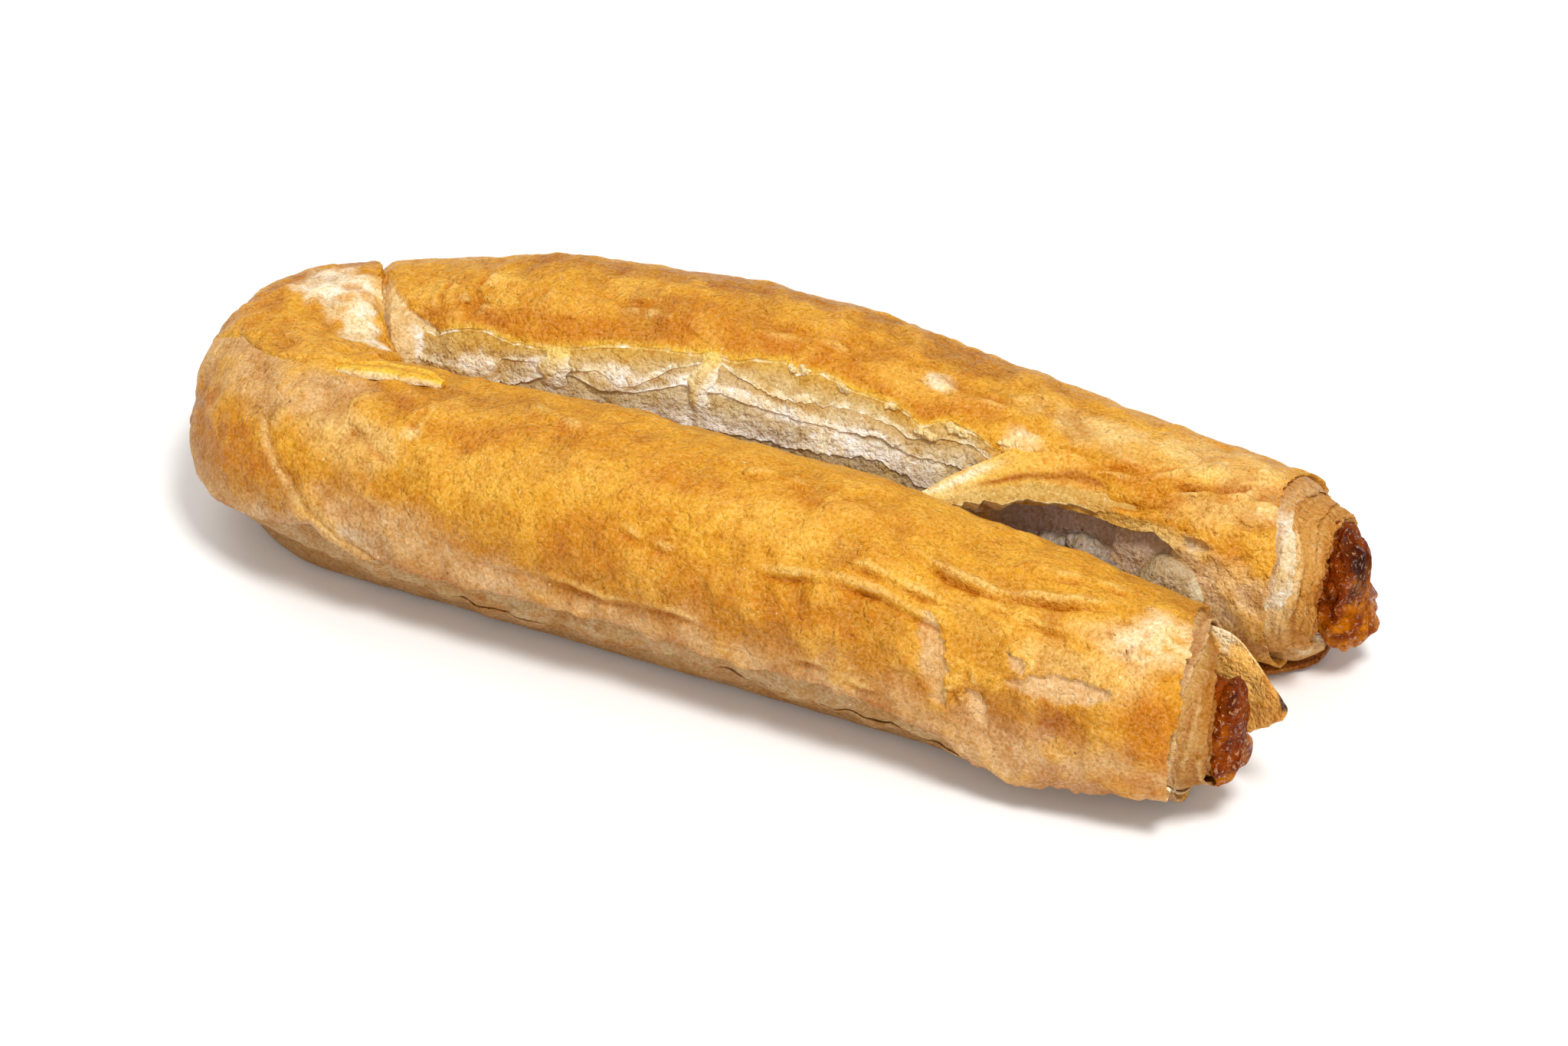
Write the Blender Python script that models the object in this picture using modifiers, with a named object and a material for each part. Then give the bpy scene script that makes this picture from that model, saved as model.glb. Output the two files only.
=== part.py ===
"""A burek: one roll of thin dough round a sweet filling, bent into a narrow hairpin.

Metres, +Z up, resting on z = 0. The two arms run along X, with both open ends at +X.
A place on the roll is given by two numbers. The first is the distance along the roll,
in millimetres, from the near arm's open end, round the bend, to the far arm's open end.
The second is the angle round the roll, in degrees: 0 on the outer side, 90 on top,
180 on the side that faces the other arm, and 270 underneath.
"""

import math

import bmesh
import bpy
from mathutils import Vector, noise

MM = 0.001

# The roll's centre line, in millimetres.
BEND_CENTRE = (-63.7, -3.0)
BEND_RADIUS = 19.5
NEAR_ARM = 153.0
FAR_ARM = 160.0
BEND = math.pi * BEND_RADIUS
ROLL = NEAR_ARM + BEND + FAR_ARM

# The roll's section, in millimetres: along the roll, width, height, lift above the
# table, and how far the section's middle is moved to the outer side.
SECTIONS = (
    (-12, 32.5, 26.0, 2.6, 1.0),
    (0, 33.0, 26.8, 2.5, 1.0),
    (20, 36.4, 31.0, 0.4, 0.6),
    (34, 39.4, 33.6, 0.0, 0.1),
    (52, 41.0, 35.9, 0.0, -0.3),
    (83, 41.0, 36.4, 0.0, -0.5),
    (113, 41.0, 36.1, 0.0, -0.5),
    (134, 40.2, 35.0, 0.0, -0.3),
    (153, 39.5, 34.4, 0.0, 0.0),
    (168, 39.5, 34.0, 0.0, 0.2),
    (184, 39.3, 33.3, 0.0, 0.0),
    (200, 39.0, 32.3, 0.0, -0.3),
    (214, 39.0, 33.9, 0.0, -0.2),
    (234, 40.6, 37.2, 0.0, 2.0),
    (254, 42.2, 38.5, 0.0, 4.1),
    (284, 41.0, 38.0, 0.0, 5.8),
    (314, 38.0, 34.4, 0.0, 5.3),
    (344, 35.0, 31.6, 0.4, 3.0),
    (362, 33.8, 29.8, 1.8, 1.2),
    (370, 33.2, 28.2, 2.4, 0.4),
    (386, 32.8, 26.4, 2.5, 0.0),
)
BASE_FLAT = 0.045  # part of the height that is pressed flat against the table
SQUARENESS = 0.94  # 1 is an ellipse, less is boxier
BEND_PINCH = 2.6  # the bend's inner side keeps this far from closing on itself
BEND_FILL = 0.2  # how much fuller the bend's inner shoulder is, as a part of the height
BEND_FILL_SPAN = (150, 163, 184, 198)
BEND_FILL_ANGLES = (88, 150, 190, 236)

# Where the outer skin ends, and how the inner sleeve stands out of it.
NEAR_RIM = 2.0
FAR_RIM = 369.8
NEAR_RIM_LINE = (
    (-120, 0.6), (0, 0.3), (40, 0.5), (80, 2.6), (110, 5.4), (180, 6.4), (225, 2.0), (240, 0.6),
)
FAR_RIM_LINE = (
    (-120, 369.6), (-30, 368.6), (30, 366.4), (60, 365.2), (90, 365.2), (112, 366.8),
    (135, 369.4), (240, 369.6),
)
RIM_RAGGED = 0.7
SKIN_WALL = 0.93
RECESS_DEPTH = 3.2
RECESS_FLOOR = 0.86
SLEEVE = 0.80
NEAR_SLEEVE_OUT = 5.2
FAR_SLEEVE_OUT = 2.8

# Swellings and hollows: along, angle, half length, half angle, height.
SWELLINGS = (
    (24, -30, 16, 26, 2.7),
    (48, 128, 10, 34, -1.5),
    (62, 100, 22, 26, 0.5),
    (104, 62, 26, 30, 0.6),
    (131, 88, 7, 22, -0.7),
    (168, -8, 8, 18, 1.0),
    (166, 30, 7, 24, -0.9),
    (180, -40, 30, 24, -3.1),
    (185, 44, 10, 22, 1.0),
    (200, 90, 10, 32, -1.2),
    (230, 72, 10, 32, 1.3),
    (262, 62, 14, 30, 0.5),
    (296, 84, 12, 24, -0.6),
    (318, 112, 9, 18, 0.8),
    (352, 118, 10, 16, 0.9),
)
LUMPS = ((34.0, 0.55), (13.0, 0.38))  # size and height of the overall unevenness

# Torn edges on the far arm's inner side, from the outer skin down: along, angle.
SKIN_EDGE = (
    (203, 128), (216, 131), (232, 128), (248, 134), (256, 129), (270, 120), (284, 121),
    (297, 128), (318, 133), (338, 122), (356, 124),
)
FIRST_SHEET_EDGE = (
    (206, 150), (220, 153), (236, 146), (256, 144), (270, 136), (285, 134), (300, 138),
    (318, 141), (338, 131), (356, 133),
)
SECOND_SHEET_EDGE = (
    (210, 160), (240, 153), (256, 148), (276, 146), (296, 147), (314, 151), (321, 153),
    (330, 150), (338, 143), (348, 140), (355, 147),
)
THIRD_SHEET_EDGE = ((212, 168), (256, 160), (285, 158), (303, 157), (320, 166), (354, 170))
TORN_EDGES = (SKIN_EDGE, FIRST_SHEET_EDGE, SECOND_SHEET_EDGE, THIRD_SHEET_EDGE)
TORN_SPAN = (200, 207, 312, 320)  # where the torn edges begin, and where the flap ends them
TORN_STEPS = (1.3, 1.0, 1.0, 0.8)
HOLLOW_SPAN = (317, 323, 349, 356)  # the hollow under the flap's free edge
HOLLOW_EDGE = TORN_EDGES.index(SECOND_SHEET_EDGE)  # the edge that overhangs the hollow
HOLLOW_DEPTH = 5.6
HEALED = (180, 206)  # angles over which the torn side comes back out to the skin

# The end of the dough sheet that is wound round the bend: angle, along.
WRAP_EDGE = (
    (-120, 145), (-60, 138), (-8, 139), (0, 147), (8, 152), (26, 156), (45, 163), (68, 171),
    (88, 164), (98, 155), (180, 150), (240, 145),
)
WRAP_STEP = 0.9

# The crack between the bend and the far arm's skin: angle, along.
CRACK_LINE = (
    (-120, 192), (-60, 200), (60, 200), (84, 199), (105, 197), (125, 193.5), (140, 190),
    (180, 187), (240, 192),
)
CRACK_DEPTH = 2.4
CRACK_HALF = 1.5
CRACK_SPAN = (64, 120)  # angles over which the crack opens

# The filling, a rope that runs through the roll: along, width, height, offset outwards.
FILLING_SECTIONS = (
    (-13, 11.2, 16.0, 4.0),
    (0, 11.8, 16.6, 3.7),
    (30, 16.5, 19.5, 0.0),
    (187, 16.0, 19.0, 0.0),
    (345, 16.0, 19.5, 0.0),
    (370, 15.0, 19.5, 0.6),
    (388, 14.5, 19.5, 0.8),
)
FILLING_GAP = 0.45
FILLING_SIDES = 14
BORE_OVERRUN = 9  # the cutter is this much longer than the roll at each end

# How the filling stands out of its two ends: where it ends along the roll, how much taller
# it swells, how far it sinks, and how far it reaches at each height above the table.
FILLING_NEAR = (
    -7.6, 1.28, 0.8,
    ((4, -4.2), (6, -0.8), (10, 0.6), (13, 0.9), (16, -0.9), (20, 0.2), (25, 0.6)),
)
FILLING_FAR = (
    380.8, 1.14, 1.5,
    ((2, -4.6), (4, -1.8), (6, 0.3), (10, 0.7), (13, -0.5), (16, -2.2), (21, -1.0), (23, -1.8), (25, -4.6)),
)
SLEEVE_CLEARANCE = 1.0
CRAG_RINGS = ((0.0, 1.0), (0.3, 1.04), (0.6, 1.0), (0.85, 0.84), (1.0, 0.5))
CRAG_HEIGHT = 0.9
CRAG_SIZE = 5.5

# Loose sheets, each a grid of points across (rows) from its root to its free end.
BRIDGE_ROWS = (
    ((46.5, 10.5, 28.6), (51.0, 9.3, 28.4), (56.5, 7.0, 25.4)),
    ((41.0, 6.4, 29.2), (46.0, 5.4, 28.8), (50.5, 3.4, 25.8)),
    ((36.6, 1.2, 28.9), (40.5, 0.8, 28.4), (44.6, 0.6, 26.2)),
    ((34.0, -4.0, 29.1), (36.6, -4.0, 28.6), (39.4, -4.0, 27.0)),
    ((32.2, -9.6, 29.6), (33.8, -9.6, 29.0), (35.4, -9.6, 28.0)),
)
BRIDGE_THICKNESS = 2.0
POINTED_FLAP_ROWS = (
    ((79.0, -14.0, 24.4), (79.2, -15.4, 19.8), (79.6, -16.8, 14.4), (80.6, -18.6, 9.0)),
    ((88.4, -13.8, 23.6), (89.0, -15.6, 19.6), (89.8, -17.2, 14.6), (91.0, -19.0, 8.6)),
    ((93.6, -15.6, 21.0), (94.2, -16.8, 18.6), (95.0, -18.2, 15.0), (95.8, -19.8, 10.8)),
    ((99.6, -19.6, 18.0), (100.2, -20.2, 17.4), (100.5, -20.7, 16.6), (100.2, -21.2, 15.4)),
)
POINTED_FLAP_THICKNESS = 1.5
BASE_FLAKE_ROWS = (
    ((66.0, 6.2, 1.6), (66.0, 13.0, 0.8), (66.0, 24.0, 0.8)),
    ((78.0, 7.0, 1.2), (78.0, 13.0, 0.8), (78.0, 24.0, 0.8)),
    ((87.0, 8.0, 0.8), (87.0, 13.4, 0.8), (88.0, 23.0, 0.8)),
    ((92.0, 11.6, 0.8), (93.6, 14.6, 0.9), (94.0, 20.0, 1.2)),
    ((93.4, 13.4, 0.9), (95.2, 16.6, 1.0), (95.6, 19.4, 1.4)),
)
BASE_FLAKE_THICKNESS = 1.2

# Shreds of dough that hang over the torn edges: along, first and last angle.
SHREDS = ((237, 129, 152), (263, 124, 156))
SHRED_HALF = 1.4
SHRED_THICKNESS = 1.3
SHRED_SUNK = (1.0, 0.5, 0.5, 0.8, 1.3)  # how far each row lies under the skin
SHRED_SWAY = 0.6
SHRED_SWAY_STEP = 1.7

# Rings along the roll between one guide line and the next, and columns round it.
RINGS = (30, 6, 10, 6, 38, 16)
COLUMNS = (15, 4, 1, 2, 1, 1, 1, 1, 1, 3, 7)
SEAM_RINGS = 8  # the closer rings reach this far to each side of a seam
HOLLOW_RING = 318
EDGE_BEFORE = 1  # degrees from a torn edge to the columns on its two sides
EDGE_AFTER = 2
COLUMNS_FROM = (-40, 100)  # the angles of the columns before and after the torn edges
COLUMNS_TO = (200, 320)
EDGE_READ_AT = 140  # the angle at which a ring's place is taken for its torn edges
ROPE_RINGS = (15, 10, 15)  # rings of the filling along the near arm, the bend, the far arm

# An open end's rings, from the skin's rim: depth inwards, part of the section's size, and
# how much of the rim's slant the ring keeps.
WALL_RINGS = ((0.5, SKIN_WALL, 1.0), (RECESS_DEPTH, RECESS_FLOOR, 1.0), (RECESS_DEPTH, SLEEVE, 1.0))
SLEEVE_RINGS = ((0.4, SLEEVE - 0.02, 0.6), (1.0, SLEEVE - 0.05, 0.4), (1.0, SLEEVE - 0.16, 0.4))
SLEEVE_LUMPS = (7, 0.4)  # size and height
RIM_WAVES = 2.0

BEND_EASE = 4  # the bend's pinch starts and ends this far along the arms
STEP_SOFT = 0.8  # the wrapped sheet's edge rises over this distance to each side
CRACK_RUN_OUT = 4
WRAP_ANGLES = (-60, -30, 140, 170)
ON_TABLE = (-0.72, -0.9)  # the sines of the angles between which the relief fades out
AHEAD = 0.5


def smooth(low, high, value):
    """0 below low, 1 above high, and a smooth rise between them."""
    part = min(max((value - low) / (high - low), 0.0), 1.0)
    return part * part * (3 - 2 * part)


def rise(low, high, value):
    """0 below low, 1 above high, and a straight rise between them."""
    return min(max((value - low) / (high - low), 0.0), 1.0)


def span(ends, value):
    """1 between the two inner ends, fading to 0 at the outer ones."""
    return smooth(ends[0], ends[1], value) * (1 - smooth(ends[2], ends[3], value))


def between(points, value):
    """Straight runs through (place, amount) points, held level past the ends."""
    if value <= points[0][0]:
        return points[0][1]
    for (low, first), (high, second) in zip(points, points[1:]):
        if value <= high:
            return first + (second - first) * (value - low) / (high - low)
    return points[-1][1]


def station(table, along):
    """The table's row at this place, on a smooth curve through its rows."""
    last = len(table) - 1
    i = max(k for k in range(last) if k == 0 or table[k][0] <= along)
    before = table[max(i - 1, 0)]
    low = table[i]
    high = table[i + 1]
    after = table[min(i + 2, last)]
    gap = high[0] - low[0]
    t = min(max((along - low[0]) / gap, 0.0), 1.0)
    row = []
    for k in range(1, len(low)):
        slope_low = (high[k] - before[k]) / (high[0] - before[0]) * gap
        slope_high = (after[k] - low[k]) / (after[0] - low[0]) * gap
        row.append(
            low[k] * (2 * t**3 - 3 * t**2 + 1)
            + slope_low * (t**3 - 2 * t**2 + t)
            + high[k] * (3 * t**2 - 2 * t**3)
            + slope_high * (t**3 - t**2)
        )
    return row


def centre(along):
    """A point of the centre line in plan, and the direction to the roll's outer side."""
    side = station(SECTIONS, along)[3]
    if along < NEAR_ARM:
        place = Vector((BEND_CENTRE[0] + NEAR_ARM - along, BEND_CENTRE[1] - BEND_RADIUS))
        outward = Vector((0.0, -1.0))
    elif along < NEAR_ARM + BEND:
        turn = (along - NEAR_ARM) / BEND_RADIUS
        outward = Vector((-math.sin(turn), -math.cos(turn)))
        place = Vector(BEND_CENTRE) + outward * BEND_RADIUS
    else:
        place = Vector((BEND_CENTRE[0] + along - NEAR_ARM - BEND, BEND_CENTRE[1] + BEND_RADIUS))
        outward = Vector((0.0, 1.0))
    return place + outward * side


def frame_at(along):
    """A point of the centre line, and the direction square to it on the outer side."""
    place = centre(along)
    ahead = centre(along + AHEAD) - centre(along - AHEAD)
    ahead.normalize()
    return place, Vector((-ahead.y, ahead.x))


def power(value, exponent):
    """A power of the value's size that keeps its sign."""
    return math.copysign(abs(value) ** exponent, value)


def base_point(along, angle, scale=1.0):
    """The roll's plain form in millimetres, with nothing torn, swollen or uneven."""
    width, height, lift, _ = station(SECTIONS, along)
    place, outward = frame_at(along)
    turn = math.radians(angle)
    across = power(math.cos(turn), SQUARENESS)
    bent = rise(NEAR_ARM - BEND_EASE, NEAR_ARM + BEND + BEND_EASE, along)
    pinch = BEND_PINCH * math.sin(math.pi * bent)
    half = width / 2 - (pinch if across < 0 else 0)
    flat = place + outward * (half * across * scale)
    up = (1 + power(math.sin(turn), SQUARENESS)) / 2
    up = (max(up, BASE_FLAT) - BASE_FLAT) / (1 - BASE_FLAT)
    up += BEND_FILL * span(BEND_FILL_SPAN, along) * span(BEND_FILL_ANGLES, wrapped(angle)) * (1 - up) * 2
    up = 0.5 + (up - 0.5) * scale
    return Vector((flat.x, flat.y, lift + up * height))


def section_normal(along, angle):
    """The direction straight out of the roll."""
    _, outward = frame_at(along)
    turn = math.radians(angle)
    return Vector((outward.x * math.cos(turn), outward.y * math.cos(turn), math.sin(turn)))


def wrapped(angle):
    """The angle moved into -120 .. 240, where the tables above are read."""
    return (angle + 120) % 360 - 120


def torn_depth(along, angle):
    """How far the surface lies below the outer skin on the far arm's inner side."""
    depth = 0.0
    sheets = span(TORN_SPAN, along)
    for edge, step in zip(TORN_EDGES, TORN_STEPS):
        line = between(edge, along)
        depth += sheets * step * rise(line - EDGE_BEFORE, line + EDGE_AFTER, angle)
    lip = between(TORN_EDGES[HOLLOW_EDGE], along)
    depth += span(HOLLOW_SPAN, along) * HOLLOW_DEPTH * rise(lip - EDGE_BEFORE, lip + EDGE_AFTER, angle)
    return depth * (1 - smooth(*HEALED, angle))


def wrap_height(along, angle):
    """The dough sheet wound round the bend, and the crack where the far skin begins."""
    edge = between(WRAP_EDGE, angle)
    crack = between(CRACK_LINE, angle)
    sheet = WRAP_STEP * rise(edge - STEP_SOFT, edge + STEP_SOFT, along)
    sheet *= 1 - rise(crack - STEP_SOFT, crack + CRACK_RUN_OUT, along)
    open_crack = smooth(*CRACK_SPAN, angle) * max(0.0, 1 - abs(along - crack) / CRACK_HALF)
    return sheet * span(WRAP_ANGLES, angle) - CRACK_DEPTH * open_crack


def relief(along, angle, plain):
    """How far the real surface stands outside the plain form."""
    angle = wrapped(angle)
    height = wrap_height(along, angle) - torn_depth(along, angle)
    for middle, facing, half_length, half_angle, amount in SWELLINGS:
        away = ((along - middle) / half_length) ** 2 + ((angle - facing) / half_angle) ** 2
        height += amount * math.exp(-away)
    for size, amount in LUMPS:
        height += amount * noise.noise(plain / size)
    on_table = smooth(*ON_TABLE, math.sin(math.radians(angle)))
    return height * (1 - on_table)


def skin_point(along, angle):
    """A point of the baked surface, never below the table."""
    plain = base_point(along, angle)
    point = plain + section_normal(along, angle) * relief(along, angle, plain)
    point.z = max(point.z, 0.0)
    return point


def near_slant(angle):
    """How much further along the roll the near arm's skin starts at this angle."""
    return between(NEAR_RIM_LINE, angle) - NEAR_RIM


def far_slant(angle):
    """How much further along the roll the far arm's skin ends at this angle."""
    return between(FAR_RIM_LINE, angle) - FAR_RIM


def guide_lines(angle):
    """The lines that rings follow, so that each seam lies along a ring."""
    angle = wrapped(angle)
    edge = between(WRAP_EDGE, angle)
    crack = between(CRACK_LINE, angle)
    ragged = RIM_RAGGED * noise.noise(Vector((math.radians(angle) * RIM_WAVES, 0.0, 0.0)))
    return (
        NEAR_RIM + near_slant(angle) + ragged,
        edge - SEAM_RINGS,
        edge + SEAM_RINGS,
        crack - SEAM_RINGS,
        crack + SEAM_RINGS,
        HOLLOW_RING,
        FAR_RIM + far_slant(angle) + ragged,
    )


def guide_steps():
    """(guide line, part of the way to the next) for each ring, closer at the seams."""
    steps = []
    for line, count in enumerate(RINGS):
        steps += [(line, k / count) for k in range(count)]
    return steps + [(len(RINGS) - 1, 1.0)]


def ring_place(step, angle):
    lines = guide_lines(angle)
    line, part = step
    return lines[line] + (lines[line + 1] - lines[line]) * part


def ring_angles(along):
    """Angles round one ring, with a close pair of columns along each torn edge."""
    knots = [*COLUMNS_FROM]
    for torn_edge in TORN_EDGES:
        edge = between(torn_edge, along)
        knots += [edge - EDGE_BEFORE, edge + EDGE_AFTER]
    knots += COLUMNS_TO
    angles = []
    for low, high, count in zip(knots, knots[1:], COLUMNS):
        angles += [low + (high - low) * k / count for k in range(count)]
    return angles


def end_rings(rim, outward_step, out, slant):
    """The open end: the skin's wall, the recess in it and the sleeve that stands out."""
    angles = ring_angles(rim)
    places = [(-inwards, scale, slanted) for inwards, scale, slanted in WALL_RINGS]
    places += [(out * part, scale, slanted) for part, scale, slanted in SLEEVE_RINGS]
    rings = []
    size, height = SLEEVE_LUMPS
    for depth, scale, slanted in places:
        ring = []
        for angle in angles:
            along = rim + outward_step * depth + slanted * slant(wrapped(angle))
            plain = base_point(along, angle, scale)
            uneven = height * noise.noise(plain / size)
            ring.append(plain + section_normal(along, angle) * uneven)
        rings.append(ring)
    return rings


def loft(name, rings):
    """A closed mesh through rings of equally many points, with a fan over each end."""
    mesh = bmesh.new()
    rows = [[mesh.verts.new(point * MM) for point in ring] for ring in rings]
    count = len(rows[0])
    for row, following in zip(rows, rows[1:]):
        for k in range(count):
            mesh.faces.new((row[k], row[(k + 1) % count], following[(k + 1) % count], following[k]))
    for row in (rows[0], rows[-1]):
        middle = mesh.verts.new(sum((v.co for v in row), Vector()) / count)
        for k in range(count):
            mesh.faces.new((row[k], row[(k + 1) % count], middle))
    return finished(name, mesh)


def finished(name, mesh):
    """An object made from a closed mesh, with its faces turned outwards."""
    bmesh.ops.triangulate(mesh, faces=mesh.faces)
    bmesh.ops.recalc_face_normals(mesh, faces=mesh.faces)
    data = bpy.data.meshes.new(name)
    mesh.to_mesh(data)
    mesh.free()
    return bpy.data.objects.new(name, data)


def roll_solid():
    """The whole roll, from the near sleeve round the bend to the far sleeve."""
    rings = end_rings(NEAR_RIM, -1, NEAR_SLEEVE_OUT, near_slant)[::-1]
    for step in guide_steps():
        angles = ring_angles(ring_place(step, EDGE_READ_AT))
        rings.append([skin_point(ring_place(step, angle), angle) for angle in angles])
    rings += end_rings(FAR_RIM, 1, FAR_SLEEVE_OUT, far_slant)
    return loft("pastry", rings)


def sheet_solid(name, rows, thickness):
    """A curved sheet through rows of points, given a wall on both sides."""
    mesh = bmesh.new()
    grid = [[mesh.verts.new(Vector(point) * MM) for point in row] for row in rows]
    for row, following in zip(grid, grid[1:]):
        for k in range(len(row) - 1):
            mesh.faces.new((row[k], row[k + 1], following[k + 1], following[k]))
    data = bpy.data.meshes.new(name)
    mesh.to_mesh(data)
    mesh.free()
    sheet = bpy.data.objects.new(name, data)
    wall = sheet.modifiers.new("wall", "SOLIDIFY")
    wall.thickness = thickness * MM
    wall.offset = 0
    return sheet


def shred_rows(along, first, last):
    """Rows of points for one shred, half sunk in the sheets that it hangs over."""
    rows = []
    for k, sunk in enumerate(SHRED_SUNK):
        angle = first + (last - first) * k / (len(SHRED_SUNK) - 1)
        row = []
        for side in (-SHRED_HALF, 0, SHRED_HALF):
            place = along + side + SHRED_SWAY * math.sin(SHRED_SWAY_STEP * k + along)
            row.append(base_point(place, angle) - section_normal(place, angle) * sunk)
        rows.append(row)
    return rows


def rope_point(along, angle, margin):
    """A point of the filling's skin, moved outwards by a margin."""
    width, height, side = station(FILLING_SECTIONS, along)
    _, outer_height, lift, _ = station(SECTIONS, along)
    place, outward = frame_at(along)
    turn = math.radians(angle)
    across = outward * (side + (width / 2 + margin) * math.cos(turn))
    up = lift + outer_height / 2 + (height / 2 + margin) * math.sin(turn)
    return Vector((place.x + across.x, place.y + across.y, up))


def rope_places():
    """Rings of the filling inside the roll, closer together round the bend."""
    ends = (NEAR_RIM, NEAR_ARM, NEAR_ARM + BEND, FAR_RIM)
    places = []
    for low, high, count in zip(ends, ends[1:], ROPE_RINGS):
        places += [low + (high - low) * k / count for k in range(count)]
    return places + [FAR_RIM]


def rope_ring(along, margin):
    return [rope_point(along, 360 * k / FILLING_SIDES, margin) for k in range(FILLING_SIDES)]


def rope_rings(margin):
    return [rope_ring(along, margin) for along in rope_places()]


def bore_cutter():
    """The filling's own form, a little larger, and longer than the roll."""
    near = rope_ring(-BORE_OVERRUN, FILLING_GAP)
    far = rope_ring(ROLL + BORE_OVERRUN, FILLING_GAP)
    return loft("bore", [near] + rope_rings(FILLING_GAP) + [far])


def cragged_end(shape, sleeve, outward_step):
    """Rings of the baked filling that stands out of an end, rough and swollen."""
    end, taller, sunk, profile = shape
    rings = []
    for part, scale in CRAG_RINGS:
        along = sleeve + (end - sleeve) * part
        base = rope_ring(along, 0)
        middle = sum(base, Vector()) / FILLING_SIDES
        shown = min(part / CRAG_RINGS[1][0], 1.0)
        ring = []
        for point in base:
            away = (point - middle) * scale
            away.z *= 1 + (taller - 1) * shown
            away += away.normalized() * (CRAG_HEIGHT * shown * noise.noise(point / CRAG_SIZE))
            place = middle + away
            place.z -= sunk * shown
            place.x += part * between(profile, place.z)
            ring.append(place)
        rings.append(ring)
    return rings[::outward_step]


def filling_solid():
    """The filling's rope, with a cragged end at each opening."""
    near = cragged_end(FILLING_NEAR, NEAR_RIM - NEAR_SLEEVE_OUT - SLEEVE_CLEARANCE, -1)
    far = cragged_end(FILLING_FAR, FAR_RIM + FAR_SLEEVE_OUT + SLEEVE_CLEARANCE, 1)
    return loft("filling", near + rope_rings(0) + far)


def material(name, colour, roughness):
    """A plain finish, not metallic."""
    made = bpy.data.materials.new(name)
    made.use_nodes = True
    shader = made.node_tree.nodes["Principled BSDF"]
    shader.inputs["Base Color"].default_value = (*colour, 1.0)
    shader.inputs["Roughness"].default_value = roughness
    shader.inputs["Metallic"].default_value = 0.0
    return made


def apply_modifiers(obj):
    graph = bpy.context.evaluated_depsgraph_get()
    data = bpy.data.meshes.new_from_object(obj.evaluated_get(graph))
    obj.modifiers.clear()
    obj.data = data


def clear_scene():
    for obj in list(bpy.data.objects):
        bpy.data.objects.remove(obj, do_unlink=True)


def collection(name):
    made = bpy.data.collections.new(name)
    bpy.context.scene.collection.children.link(made)
    return made


def helper(obj, group):
    """Keeps an object that only shapes another out of the finished part."""
    obj.hide_render = True
    obj.display_type = "WIRE"
    group.objects.link(obj)
    return obj


def join_and_bore(pastry, sheets, bore):
    """Joins the loose sheets to the roll, and clears the filling's place inside it."""
    join = pastry.modifiers.new("join sheets", "BOOLEAN")
    join.operation = "UNION"
    join.operand_type = "COLLECTION"
    join.collection = sheets
    cut = pastry.modifiers.new("bore", "BOOLEAN")
    cut.operation = "DIFFERENCE"
    cut.object = bore
    bpy.context.view_layer.update()
    apply_modifiers(pastry)
    for obj in list(sheets.objects) + [bore]:
        bpy.data.objects.remove(obj, do_unlink=True)


def main():
    clear_scene()
    parts = collection("burek")
    sheets = collection("loose sheets")
    cutters = collection("cutters")

    pastry = roll_solid()
    parts.objects.link(pastry)
    helper(sheet_solid("bridge", BRIDGE_ROWS, BRIDGE_THICKNESS), sheets)
    helper(sheet_solid("pointed flap", POINTED_FLAP_ROWS, POINTED_FLAP_THICKNESS), sheets)
    helper(sheet_solid("base flake", BASE_FLAKE_ROWS, BASE_FLAKE_THICKNESS), sheets)
    for along, first, last in SHREDS:
        helper(sheet_solid("shred", shred_rows(along, first, last), SHRED_THICKNESS), sheets)
    bore = helper(bore_cutter(), cutters)
    join_and_bore(pastry, sheets, bore)
    pastry.data.materials.append(material("baked dough", (0.62, 0.34, 0.10), 0.55))

    filling = filling_solid()
    parts.objects.link(filling)
    filling.data.materials.append(material("caramelised filling", (0.30, 0.07, 0.01), 0.25))

    for obj in (pastry, filling):
        obj.data.shade_smooth()
        obj.data.set_sharp_from_angle(angle=math.radians(40))


main()
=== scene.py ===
"""A burek, dressed: thin oiled dough rolled round a sweet filling and bent into a hairpin.

The CAD is the frame. Each piece here is laid on the same roll as the CAD: a place on it is
the distance along the roll in millimetres, from the near arm's open end round the bend to
the far arm's open end, and the angle round it in degrees, 0 on the outer side, 90 on top
and 180 on the side that faces the other arm.
"""

import math

import bpy
import numpy as np
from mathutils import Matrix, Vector, noise


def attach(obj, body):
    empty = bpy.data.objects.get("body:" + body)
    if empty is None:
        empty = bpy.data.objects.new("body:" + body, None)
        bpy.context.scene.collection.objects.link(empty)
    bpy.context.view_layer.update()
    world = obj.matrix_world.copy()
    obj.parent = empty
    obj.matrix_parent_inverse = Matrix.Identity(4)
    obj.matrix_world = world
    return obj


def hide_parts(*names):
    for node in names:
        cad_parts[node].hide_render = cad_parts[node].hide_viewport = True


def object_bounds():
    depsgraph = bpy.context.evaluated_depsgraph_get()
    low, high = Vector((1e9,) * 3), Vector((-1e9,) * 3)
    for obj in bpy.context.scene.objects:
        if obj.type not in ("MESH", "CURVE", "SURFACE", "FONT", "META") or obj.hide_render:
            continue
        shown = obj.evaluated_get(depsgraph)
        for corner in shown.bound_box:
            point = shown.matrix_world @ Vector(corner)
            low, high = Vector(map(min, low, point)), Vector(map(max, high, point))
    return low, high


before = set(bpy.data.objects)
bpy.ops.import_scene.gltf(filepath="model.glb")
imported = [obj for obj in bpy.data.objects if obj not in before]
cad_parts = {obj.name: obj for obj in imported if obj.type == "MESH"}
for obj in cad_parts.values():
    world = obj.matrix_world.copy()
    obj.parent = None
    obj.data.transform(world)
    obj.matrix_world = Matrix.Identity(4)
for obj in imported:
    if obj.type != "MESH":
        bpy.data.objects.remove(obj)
CAD_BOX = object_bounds()
bpy.ops.object.select_all(action="DESELECT")

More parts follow.
